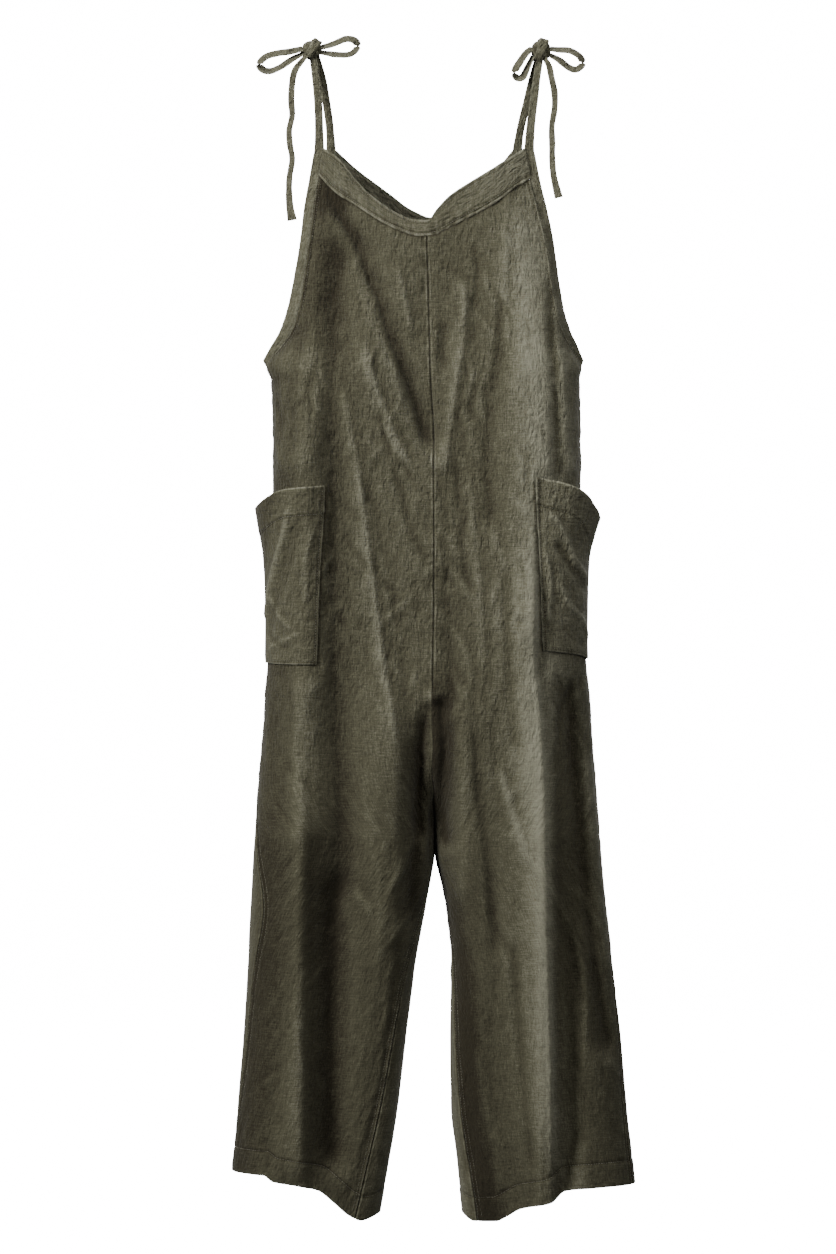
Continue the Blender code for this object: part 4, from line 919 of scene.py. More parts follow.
def solved(side, face, u, start, edge_of):
    """Height at which the form meets an edge, found by steps from a first guess."""
    z = np.full(np.shape(u), float(start))
    for _ in range(12):
        z = edge_of(*form(side, face, u, z))
    return z


def seam_height(side, face, u):
    """Height of the neck band's seam at column share u."""
    edge = FRONT_SEAM if face == FRONT else BACK_SEAM
    return solved(side, face, u, -0.19, lambda x, y: edge_height(edge, x))


def neck_height(side, face, u):
    """Height of the neck band's free edge at column share u."""
    edge = FRONT_NECK if face == FRONT else BACK_NECK
    return solved(side, face, u, -0.16, lambda x, y: edge_height(edge, x))


def hem_height(side, face, u):
    """Height of the hem at column share u, going over from front to back at the side seam."""
    def of(x, y):
        share = smooth((y + 0.010) / 0.020)
        front = edge_height(HEMS[side, FRONT], x)
        back = edge_height(HEMS[side, BACK], x)
        return front + (back - front) * share
    return solved(side, face, u, -1.385, of)


def row_height(top, foot, height):
    """A panel row's height, bent to the seam at the top and to the hem at the foot."""
    ease_top = np.clip((height - UNDERARM) / (PANEL_TOP - UNDERARM), 0, None)
    ease_foot = np.clip((HEM_EASE_FROM - height) / (HEM_EASE_FROM - PANEL_FOOT), 0, None)
    return height + ease_top * (top - PANEL_TOP) + ease_foot ** 1.5 * (foot - PANEL_FOOT)


# Long soft lines that the hanging cloth falls into.
DRAPES = {
    FRONT: strokes(46, 63, (-0.19, -1.30), (0.20, -0.26), 0.07, (0.10, 0.34), (0.0007, 0.0017),
                   (0.0040, 0.0120)),
    BACK: strokes(40, 69, (-0.19, -1.30), (0.20, -0.26), 0.08, (0.10, 0.34), (0.0007, 0.0017),
                  (0.0045, 0.0120)),
}

# Fine creases, the same for every piece of cloth they cross.
SMALL = {
    FRONT: strokes(420, 41, (-0.25, -1.36), (0.25, -0.20), 0.45, (0.018, 0.090), (0.0005, 0.0018),
                   (0.0024, 0.0062)),
    BACK: strokes(420, 57, (-0.25, -1.36), (0.25, -0.22), 0.45, (0.020, 0.090), (0.0005, 0.0017),
                  (0.0026, 0.0066)),
}


def crumple(s, z, seed):
    """Soft uneven rumpling of washed linen, longer down the cloth than across it."""
    bend_s = s + 0.006 * noise(s / 0.05, z / 0.07, seed + 1)
    bend_z = z + 0.010 * noise(s / 0.06, z / 0.09, seed + 2)
    broad = noise(bend_s / 0.030, bend_z / 0.075, seed + 3)
    middle = 1.0 - 2.0 * np.abs(noise(bend_s / 0.017, bend_z / 0.042, seed + 4))
    small = noise(bend_s / 0.0085, bend_z / 0.021, seed + 5)
    where = 0.55 + 0.45 * noise(s / 0.09, z / 0.13, seed + 6)
    return 0.00085 * broad + (0.00075 * middle + 0.00042 * small) * where


def fine_relief(side, face, u, z):
    """How far the small creases lift the cloth along its own normal."""
    s = across(side, face, u, z)
    strokes_at = s
    if face == BACK:
        strokes_at = s - side * (girth(side, FRONT, z) + girth(side, BACK, z))
    leg = smooth((-0.72 - z) / 0.16)
    relief = (crumple(s, z, 100) + fold_field(SMALL[face], strokes_at, z)) * (1 - 0.50 * leg)
    relief = relief + fold_field(DRAPES[face], strokes_at, z)
    # The legs' inner faces and the seams lie flatter, so that the two sides stay shut.
    inner = at_height(SECTIONS, named(side) + "_in", z)
    free = smooth((np.abs(form(side, face, u, z)[0] - inner) - 0.002) / 0.014)
    relief = relief * (1 - (1 - free) * smooth((-0.770 - z) / 0.02) * smooth((z + 1.000) / 0.020))
    reach = girth(side, face, z)
    centre, edge = u * reach, (1 - u) * reach
    if face == BACK:
        relief = relief * smooth(centre / 0.020)
    else:
        relief = relief * (1 - smooth((-0.770 - z) / 0.02) * (1 - smooth(centre / 0.016)))
        relief = relief * (1 - (1 - smooth(edge / 0.012)) * 0.35)
    # Beside the centre seam: puckers, the groove of the seam and the ridge of its allowance.
    ruck = noise(np.full_like(z, 3.3), z / 0.0085, 71) + 0.6 * noise(np.full_like(z, 8.1), z / 0.0042, 72)
    proud = 0.0004 if side == LEFT else 0.0
    apart = 1 - smooth((-0.765 - z) / 0.015) * smooth((z + 1.000) / 0.020)
    seam = 0.00085 * ruck * np.exp(-centre / 0.0060)
    relief = relief + (seam + ribs(centre, (-0.0008, 0.0, 0.0009), (0.0004, 0.0020, 0.0010))) * apart
    relief = relief + proud * (1 - smooth((centre - 0.008) / 0.003))
    # The same beside the side seam or the armhole, with the line of its second row of stitches.
    ruck = noise(np.full_like(z, 1.7), z / 0.0095, 73) + 0.5 * noise(np.full_like(z, 5.1), z / 0.0045, 74)
    relief = relief + 0.00080 * ruck * np.exp(-edge / 0.006)
    return relief + ribs(edge, (-0.0009, 0.0, 0.0009), (0.0006, 0.0022, 0.0012), (-0.0004, 0.0062, 0.0010))


def body_grid(side, face, u, z, top=None, foot=None):
    """Outside points, normals and crest map, with its painted light and shade, of the cloth over a grid of u
    and z.
    """
    base = folded(side, face, u, z)
    flip = side * face > 0
    normals = grid_normals(base, flip)
    relief = fine_relief(side, face, u, z) * (1.0 - 0.85 * pocket_share(base[..., 0], z))
    s = across(side, face, u, z)
    if top is not None:
        drop = np.clip(top - z, 0, None)
        ruck = rucks(s, 0.0075, 0.0036, (2.0, 4.0), 81)
        relief = relief + 0.00085 * ruck * np.exp(-drop / 0.010) - 0.0010 * bell(drop, 0.0022)
    if foot is not None:
        rise = z - foot
        ruck = rucks(s, 0.0080, 0.0038, (6.0, 7.0), 83)
        relief = relief + 0.00045 * ruck * np.exp(-np.abs(rise - HEM_GROOVE) / 0.007)
        relief = relief + 0.0005 * (1 - smooth((rise - HEM_EDGE) / 0.002))
        relief = relief - 0.0007 * bell(rise - HEM_GROOVE, 0.0016)
    points = base + normals * relief[..., None]
    normals = grid_normals(points, flip)
    # Painted light and shade from the crest map and the folds, and painted shade towards each side.
    shade = crest_map(points, normals) + painted_fold_light(face, base[..., 0], z) - 0.30 * smooth((u - 0.66) / 0.34)
    # More painted shade down the legs, at the right side and inside the left leg; along each seam, painted
    # shade in the seam line and a lighter line beside it, worn and painted highlight.
    shade = shade - 0.22 * smooth((-0.84 - z) / 0.18)
    reach = girth(side, face, z)
    if face == FRONT:
        if side == RIGHT:
            shade = shade - 0.55 * smooth((u - 0.58) / 0.22)
        else:
            shade = shade - 1.10 * (1 - smooth(u * reach / 0.050)) * smooth((-0.73 - z) / 0.06)
    for edge in (u * reach, (1 - u) * reach):
        wear_and_highlight = 0.30 + 0.30 * noise(z / 0.011, z * 0 + 3.0, 87)
        shade = shade - 0.8 * bell(edge, 0.0008) + wear_and_highlight * bell(edge - 0.0021, 0.0009)
    # The painted shadow beside the pocket; painted shade in the lines along the side seam, under the top seam
    # and in the hem's groove, with lighter lines beside the side seam and at the hem's edge.
    side_edge = (1 - u) * reach
    start, end = POCKET_REACH[side]
    at = -start if face == FRONT else end
    mouth = getattr(MOUTHS[0], named(side) + "_z") - 0.004
    foot_at = getattr(MOUTHS[0], named(side) + "_foot")
    beside = smooth((mouth - z) / 0.006) * smooth((z - foot_at + 0.004) / 0.006)
    shade = shade - 0.90 * bell(side_edge - at - 0.0012, 0.0022) * beside
    shade = shade + ribs(side_edge, (-0.30, 0.0045, 0.0014), (0.35, 0.0070, 0.0010))
    if top is not None:
        shade = shade + ribs(top - z, (-1.0, 0.0, 0.0018), (-0.30, 0.0, 0.0060))
    if foot is not None:
        shade = shade + ribs(z - foot, (-0.5, HEM_GROOVE, 0.0015), (0.45, 0.0, 0.0016))
    return points, normals, np.clip(shade, -1.3, 1.2), flip


def on_line(levels, grid, wanted):
    """Where each column of a grid crosses the wanted level. Each column's levels rise."""
    wanted = np.broadcast_to(wanted, grid.shape[1])
    return np.array([[np.interp(wanted[c], levels[:, c], grid[:, c, a]) for a in range(3)]
                     for c in range(grid.shape[1])])


def panel_rows():
    """Heights of a panel's rows, close together at the top seam and over the hem."""
    rows = list(np.arange(PANEL_TOP, PANEL_TOP - 0.022, -0.0018))
    rows += list(np.arange(rows[-1] - 0.0036, PANEL_FOOT + 0.042, -0.0040))
    rows += list(np.linspace(rows[-1] - 0.0016, PANEL_FOOT, 24))
    return np.array(rows)


def panel(side, face):
    """One front or back panel, its stitches, its flat size and its flat area."""
    heights = panel_rows()
    near = np.array([0.0, 0.55, 1.1, 1.7, 2.4, 3.2, 4.2, 5.2, 6.2, 7.4, 8.8]) / 230
    inner = 10.5 / 230
    middle = np.linspace(inner, 1 - inner, COLUMNS[face] - 2 * len(near))
    share = np.concatenate([near, middle, 1 - near[::-1]])
    trim = TRIM / 0.24
    share = trim + share * (1 - 2 * trim)
    u = np.tile(share, (len(heights), 1))
    top = np.tile(seam_height(side, face, share), (len(heights), 1))
    foot = np.tile(hem_height(side, face, share), (len(heights), 1))
    z = row_height(top, foot, heights[:, None] + 0 * u)
    z[0] -= TRIM
    points, normals, crest, flip = body_grid(side, face, u, z, top, foot)
    thickness = CLOTH + 0.0008 * (1 - smooth((z - foot - HEM_EDGE) / 0.002))
    uv = np.stack([across(side, face, u, z), z], axis=-1)
    name = ("front_" if face == FRONT else "back_") + named(side)
    item = cloth_piece(name, [shell(points, normals, thickness, flip, uv, crest)])
    line, way = (on_line(z[::-1, 2:-2], grid[::-1, 2:-2], foot[0, 2:-2] + HEM_SEWN)
                 for grid in (points, normals))
    sewn = [stitches(line + way * 0.0001, way, seed=21 + face + 3 * side)]
    if face == FRONT:
        for column in (-5, -10):
            sewn.append(stitches(points[2:-2, column], normals[2:-2, column], seed=25 + column, width=0.0005))
        legs = [r for r in range(len(heights) - 2) if heights[r] < -0.955]
        for column in (4, 9):
            sewn.append(stitches(points[legs, column], normals[legs, column], seed=29 + column, width=0.0005))
    across_width = float(np.max(girth(side, face, np.linspace(-0.25, -1.38, 60))))
    girths = girth(side, face, heights)
    area = float((np.diff(-heights) * (girths[1:] + girths[:-1]) / 2).sum())
    length = float(np.max(top[0]) - np.min(foot[0]))
    return item, sewn, (across_width, length), area


def band_lean(face, x):
    """How far the upper edge of the front neck band leans back."""
    if face == BACK:
        return 0.0 * x
    return 0.0075 * smooth((x + 0.112) / 0.030) * (1 - smooth((x + 0.035) / 0.045)) \
        + 0.0025 * smooth((x - 0.02) / 0.03) * (1 - smooth((x - 0.06) / 0.03))


def neck_band(face):
    """The front or back neck band, its stitches and its flat size."""
    trim = TRIM / 0.13
    share = np.linspace(0.0, 1.0, 92 if face == FRONT else 78)
    share = trim + share * (1 - 2 * trim)
    levels = np.concatenate([np.linspace(0, 0.12, 4), np.linspace(0.2, 0.88, 11), np.linspace(0.92, 1.0, 4)])
    parts = []
    for side in (RIGHT, LEFT):
        u = np.tile(share, (len(levels), 1))
        u[:, 0] = 0.0
        seam = np.tile(seam_height(side, face, share) + TRIM, (len(levels), 1))
        neck = np.tile(neck_height(side, face, share), (len(levels), 1))
        v = levels[:, None] + 0 * u
        parts.append((folded(side, face, u, seam + (neck - seam) * v), v, neck - seam))
    base, v, tall = [np.concatenate([right[:, :0:-1], left], axis=1) for right, left in zip(*parts)]
    flip = face == FRONT
    normals = grid_normals(base, flip)
    x = base[..., 0]
    s = x * 1.03
    low, high = v * tall, (1 - v) * tall
    # Puckers where the band is held by its two rows of stitches, and a gather at the centre.
    ruck = (noise(s / 0.0065 + v * 0.7, v * 0.9, 91) + 0.6 * noise(s / 0.0034 + v, v * 1.3, 92))
    hold = np.exp(-low / 0.009) + 0.45 * np.exp(-high / 0.006)
    centre = bell(x, 0.010)
    relief = 0.0007 + 0.0006 * np.sin(math.pi * v) + 0.00075 * ruck * hold
    relief += 0.0005 * noise(s / 0.018, v * 1.4, 93)
    relief += 0.0009 * centre * noise(x / 0.004, v * 2.2, 94) * np.sin(math.pi * np.clip(v + 0.1, 0, 1))
    relief += ribs(low, (-0.0007, 0.0034, 0.0013)) + ribs(high, (-0.0003, 0.0030, 0.0012))
    points = base + normals * relief[..., None]
    points[..., 1] += -face * band_lean(face, x) * v ** 1.4
    normals = grid_normals(points, flip)
    thick = 0.0020 * (1 - 0.25 * np.exp(-low / 0.002))
    uv = np.stack([low + 0.3, s], axis=-1)
    name = "neck_band_" + ("front" if face == FRONT else "back")
    # Painted highlight and shade following the puckers, painted light on the band's left part, painted
    # highlight along both edges and painted shade in the stitch grooves.
    shade = crest_map(points, normals) + 0.35 * ruck * hold + 0.06 + 0.25 * smooth((x - 0.02) / 0.08)
    shade += ribs(low, (0.70, 0.0008, 0.0009), (-0.55, 0.0038, 0.0011))
    shade += ribs(high, (0.55, 0.0006, 0.0010), (-0.40, 0.0032, 0.0010))
    item = cloth_piece(name, [shell(points, normals, thick, flip, uv, shade, plump=0.6)])
    near_seam, near_edge = (int(np.argmin(np.abs(levels - share_up))) for share_up in (0.12, 0.90))
    sewn = [stitches(points[near_seam, 3:-3], normals[near_seam, 3:-3], seed=31 + face),
            stitches(points[near_edge, 3:-3], normals[near_edge, 3:-3], seed=37 + face, lift=0.00020)]
    run = float(np.linalg.norm(np.diff(points[5], axis=0), axis=1).sum())
    width = float(np.linalg.norm(np.diff(points, axis=0), axis=-1).sum(axis=0).mean())
    return item, sewn, (run, width), None


def binding_stations(side, face):
    """Seam point, normal and free-edge point, from the knot down the strap and round to the underarm."""
    spots = []
    for strap in STRAPS[side, face]:
        half = np.array([side * strap.half_width, 0, 0])
        middle = np.array([strap.x, strap.y, strap.z])
        spots.append(np.concatenate([middle - half, middle + half, [0, face, 0]]))
    neck = float(neck_height(side, face, np.array([1.0]))[0])
    seam = float(seam_height(side, face, np.array([1.0]))[0])
    foot = float(hem_height(side, face, np.array([1.0]))[0])
    levels = list(np.linspace(neck, seam, 5)[:-1])
    levels += [float(row_height(seam, foot, h)) for h in np.linspace(PANEL_TOP, UNDERARM + 0.004, 30)]
    for z in levels:
        grid_u = np.array([[0.97, 1.0 - TRIM / 0.1], [0.97, 1.0 - TRIM / 0.1]])
        grid_z = np.array([[z + 0.002, z + 0.002], [z - 0.002, z - 0.002]])
        cloth, normals = body_grid(side, face, grid_u, grid_z)[:2]
        seam_point = (cloth[0, 1] + cloth[1, 1]) / 2
        normal = normals[0, 1]
        x_edge = float(at_height(ARMHOLES, named(side), z))
        if face == BACK:
            x_edge -= side * float(at_height(ARMHOLES, "back_in", z))
        edge = np.array([x_edge, face * float(at_height(ARMHOLES, "edge_y", z)),
                         z + float(at_height(ARMHOLES, "rise", z))])
        spots.append(np.concatenate([seam_point, edge, normal]))
    return spots


def binding(side):
    """One strip: front strap, round the armhole, back strap."""
    front, back = (binding_stations(side, face) for face in (FRONT, BACK))
    under = folded(side, FRONT, np.array([1.0]), np.array([UNDERARM]))[0]
    under[1] = 0.0
    top = np.array([float(at_height(ARMHOLES, named(side), UNDERARM)), 0.0,
                    UNDERARM + float(at_height(ARMHOLES, "rise", UNDERARM))])
    rows = front + [np.concatenate([under, top, [side, 0, 0]])] + back[::-1]
    line = rounded(rows, lambda length: max(2, int(round(length / 0.0021))))
    seam, edge, rough = line[:, :3], line[:, 3:6], line[:, 6:9]
    width = unit(edge - seam)
    forward = unit(np.gradient(edge + seam, axis=0))
    normal = unit(np.cross(width, forward))
    normal *= np.sign((normal * rough).sum(axis=1, keepdims=True))
    for _ in range(6):
        normal[1:-1] = unit(normal[:-2] + 2 * normal[1:-1] + normal[2:])
    seam = seam + width * TRIM
    centre = (seam + edge) / 2 - normal * 0.00075
    half = (edge - seam) / 2
    name = "armhole_binding_" + named(side)
    item = cloth_piece(name, [strip(centre, half, normal, 0.0023, spots=26, flat=4.2, wobble=0.00022,
                                    seed=45 + side, dent=0.10)])
    run = float(np.linalg.norm(np.diff(centre, axis=0), axis=1).sum())
    wide = float(np.linalg.norm(edge - seam, axis=1).mean())
    inset = seam + width * 0.0017 + normal * 0.00042
    sewn = [stitches(inset[3:-3], normal[3:-3], seed=51 + side, length=0.0019, pitch=0.0030, width=0.00048,
                     lift=0.00022)]
    return item, sewn, (run, wide), None


def pocket(side):
    """A patch pocket round the side seam, its stitches, its flat size and its flat area."""
    start, end = POCKET_REACH[side]
    near = np.array([0.0, 0.0035, 0.007, 0.011, 0.0155, 0.021, 0.028])
    along = np.concatenate([near, np.linspace(0.036, 0.964, 98), 1 - near[::-1]])
    share = np.concatenate([np.linspace(0, 0.30, 40), np.linspace(0.31, 0.97, 62),
                            np.linspace(0.978, 1.0, 5)])
    mouth, foot = (read_off(MOUTHS, "along", named(side) + end_of, along) for end_of in ("_z", "_foot"))
    z = mouth[None, :] + (foot - mouth)[None, :] * share[:, None]
    around = start + (end - start) * along
    around = np.tile(around, (len(share), 1))
    base = np.zeros(z.shape + (3,))
    for face, on_face in ((FRONT, around < 0), (BACK, around >= 0)):
        points = folded(side, face, 1.0 - np.abs(around) / girth(side, face, z), z)
        base[on_face] = points[on_face]
    flip = side < 0
    normals = grid_normals(base, flip)
    gape = read_off(GAPES, "share", named(side), share)[:, None]
    bulge = np.sin(math.pi * along)[None, :]
    down = mouth[None, :] - z
    wide = end - start
    inset = np.minimum(along, 1 - along)[None, :] * wide
    # Creases in the open part; puckers and grooves at the sewn edges and under the mouth's hem.
    body = smooth(inset / 0.010) * smooth((foot[None, :] - z) / -0.010)
    relief = crumple(around + side * 0.7, z, 200 + side) * 1.1 * (0.25 + 0.75 * body)
    relief += fold_field(POCKET_CREASES[side], around, z) * (0.3 + 0.7 * body)
    relief += 0.00034 * rucks(z, 0.0070, 0.0036, (2.0, 5.0), 95) * np.exp(-inset / 0.005)
    low = z - foot[None, :]
    relief += 0.00034 * noise(around / 0.0070, z * 0 + 2.0, 97) * np.exp(-low / 0.005)
    ruck = rucks(around, 0.0085, 0.0040, (3.0, 3.5), 98)
    relief += 0.00050 * ruck * np.exp(-np.abs(down - POCKET_HEM) / 0.006)
    doubled = 1 - smooth((down - POCKET_HEM + 0.001) / 0.002)
    relief += 0.00035 * doubled + ribs(down, (-0.00050, POCKET_HEM, 0.0013))
    relief += ribs(inset, (-0.00035, POCKET_SEAM, 0.0010)) * (down > 0.002)
    relief = np.maximum(relief, -0.0012)
    seat = 0.0008 + 0.0006 * smooth(inset / 0.008) * smooth(low / 0.008)
    lift = seat + CLOTH + gape * bulge ** 1.5 + POCKET_CROWN * bulge + relief
    points = base + normals * lift[..., None]
    normals = grid_normals(points, flip)
    thick = 0.0011 + 0.0008 * doubled
    uv = np.stack([around + side * 0.7, z], axis=-1)
    name = "pocket_" + named(side)
    # A little darker overall; painted shade in the stitch grooves, under the hem and on the right pocket's
    # turned side; painted light on the left pocket; a lighter rim, worn and painted highlight; painted
    # highlight and shade on the creases.
    shade = crest_map(points, normals) - 0.15 + ribs(down, (-0.45, POCKET_HEM, 0.0015))
    shade += ribs(np.minimum(inset, np.minimum(low, down)), (0.65, 0.0, 0.0010))
    shade += ribs(inset, (-0.45, POCKET_SEAM, 0.0009)) + ribs(low, (-0.30, 0.0030, 0.0010))
    if side == RIGHT:
        turned = around + 0.050 - 0.27 * (mouth[None, :] - z)
        shade -= 0.60 * smooth(turned / 0.020) * (1 - smooth((around + 0.006) / 0.030))
    else:
        shade += 0.35
    shade += 0.20 * np.clip(fold_field(POCKET_CREASES[side], around, z) / 0.0040, -1.0, 1.0)
    item = cloth_piece(name, [shell(points, normals, thick, flip, uv, shade, plump=0.55)])
    hem_line, hem_way = (on_line(down[:, 2:-2], grid[:, 2:-2], POCKET_HEM) for grid in (points, normals))
    left = int(np.argmin(np.abs(along * wide - POCKET_SEAM)))
    right = len(along) - 1 - left
    bottom = int(np.argmin(np.abs(low[:, 56] - 0.0030)))
    edge_line, edge_way = (
        np.vstack([grid[2:bottom, left], grid[bottom, left:right], grid[bottom:2:-1, right]])
        for grid in (points, normals))
    sewn = [stitches(hem_line, hem_way, seed=61 + side),
            stitches(edge_line, edge_way, seed=63 + side, lift=0.00022, width=0.0005)]
    tall = float(np.mean(mouth - foot))
    return item, sewn, (wide, float(np.max(mouth) - np.min(foot))), wide * tall


def seated(name, path):
    """The path with each loop's two ends moved sideways to just clear of their knot."""
    size = KNOTS[RIGHT if "right" in name else LEFT]
    ends = {0, len(path) - 1} if "loop" in name else set()
    spots = []
    for i, spot in enumerate(path):
        if i in ends:
            rest = 1.0 - (spot.y / size.half_y) ** 2 - ((spot.z - size.z) / size.half_z) ** 2
            reach = size.half_x * math.sqrt(max(0.0, rest)) - 0.0006
            spot = spot._replace(x=size.x + math.copysign(reach, spot.x - size.x))
        spots.append(spot)
    return spots


def tie(name):
    """One loop or free end of a bow, and its flat size."""
    path = seated(name, TIES[name])
    line = rounded(path, lambda length: max(2, int(round(length / 0.0014))))
    p, lean, half = line[:, :3], line[:, 3], line[:, 4]
    forward = unit(np.gradient(p, axis=0))
    y = np.array([0.0, 1.0, 0.0])
    sideways = unit(np.cross(y, forward))
    run = np.concatenate([[0.0], np.cumsum(np.linalg.norm(np.diff(p, axis=0), axis=1))])
    extra = 0.0004
    if "loop" in name:
        lean = (lean + 0.42) * np.clip(sideways[:, 2] / 0.22, -1.0, 1.0)
        extra = 0.0009
    twist = lean + 0.10 * noise(run / 0.017, run * 0 + 1.0, 17 + len(name))
    width = y * np.cos(twist)[:, None] + sideways * np.sin(twist)[:, None]
    width = unit(width - forward * (width * forward).sum(axis=1, keepdims=True))
    normal = unit(np.cross(forward, width))
    half = (half + extra) * (1.0 + 0.05 * noise(run / 0.009, run * 0 + 4.0, 19 + len(name)))
    thick = 0.0017 + 0.0002 * noise(run / 0.006, run * 0 + 8.0, 23)
    item = cloth_piece(name, [strip(p, width * half[:, None], normal, thick, spots=22, flat=3.6,
                                    wobble=0.00022, seed=len(name), dent=0.22)])
    return item, [], (max(0.010, float(2 * half.mean())), float(run[-1])), None


def lump(centre, half, seed, squeeze, rings=56, spots=72):
    """Bunched cloth: an ellipsoid with creases that run in from both sides."""
    a = np.linspace(0.02, math.pi - 0.02, rings)[:, None]
    b = np.linspace(0, 2 * math.pi, spots, endpoint=False)[None, :]
    x = np.cos(a) + 0 * b
    r = np.sin(a) + 0 * b
    crease = 0.55 * noise(b / 0.62 + 3.0 * x, x * 1.1 + 4, seed)
    crease = crease + 0.35 * noise(b / 0.30 - 2.0 * x, x * 2.0 + 9, seed + 1)
    wave = noise(np.minimum(b, 2 * math.pi - b) * 1.3, x * 1.2, seed + 2)
    size = 1.0 + 0.11 * crease * r + 0.05 * wave
    blunt = np.sign(x) * np.abs(x) ** squeeze
    verts = np.stack([centre[0] + half[0] * blunt * (0.96 + 0.04 * size),
                      centre[1] + half[1] * r ** 0.75 * np.sin(b) * size,
                      centre[2] + half[2] * r ** 0.75 * np.cos(b) * size], axis=-1)
    faces = [ring_faces(i * spots, (i + 1) * spots, spots) for i in range(rings - 1)]
    j = np.arange(spots)
    poles = np.array([[centre[0] + end * half[0], centre[1], centre[2]] for end in (1, -1)])
    count = rings * spots
    first = np.stack([j * 0 + count, (j + 1) % spots, j], axis=1)
    last = (rings - 1) * spots
    second = np.stack([j * 0 + count + 1, last + j, last + (j + 1) % spots], axis=1)
    uvs = np.stack([b * half[1] + 0 * a, x * half[0]], axis=-1).reshape(-1, 2)
    uvs = np.vstack([uvs, uvs[:1], uvs[-1:]])
    # Colour follows the creases: painted highlight where they bulge out, painted shade where they run in.
    crests = np.concatenate([np.clip(1.4 * crease * r, -1, 1).ravel(), [0.0, 0.0]])
    return np.vstack([verts.reshape(-1, 3), poles]), [np.vstack(faces), first, second], uvs, crests


def knot(side):
    """The tied lump with the tie that wraps it."""
    size = KNOTS[side]
    centre = np.array([size.x, 0.0, size.z])
    half = np.array([size.half_x, size.half_y, size.half_z])
    parts = [lump(centre, half * np.array([1.00, 0.96, 0.96]), 300 + side, 0.85)]
    turn = np.linspace(0, 2 * math.pi, 84, endpoint=False)
    lean = WRAPS[side].lean
    ring = np.array([math.cos(lean), 0.0, math.sin(lean)])
    up = np.array([-math.sin(lean), 0.0, math.cos(lean)])
    reach = (half[0] * half[2]) / np.sqrt((half[2] * up[0]) ** 2 + (half[0] * up[2]) ** 2)
    ease = 1.0 + 0.03 * np.sin(3 * turn + 1.0)
    line = (centre + WRAPS[side].shift * ring
            + up * (np.cos(turn) * (reach + 0.0012) * ease)[:, None]
            + np.array([0.0, 1.0, 0.0]) * (np.sin(turn) * (half[1] + 0.0016) * ease)[:, None])
    out = unit(np.stack([up[0] * np.cos(turn), np.sin(turn), up[2] * np.cos(turn)], axis=-1))
    wide = ring * WRAPS[side].half_width * (1.0 + 0.10 * np.cos(2 * turn + 0.7))[:, None]
    parts.append(strip(line, wide, out, 0.0034, spots=24, flat=3.0, wobble=0.0004, seed=77 + side, dent=0.35,
                       closed=True))
    tip = WRAPS[side].tip
    parts.append(lump(tip[:3], tip[3:], 320 + side, 0.8, rings=36, spots=48))
    return cloth_piece("knot_" + named(side), parts)


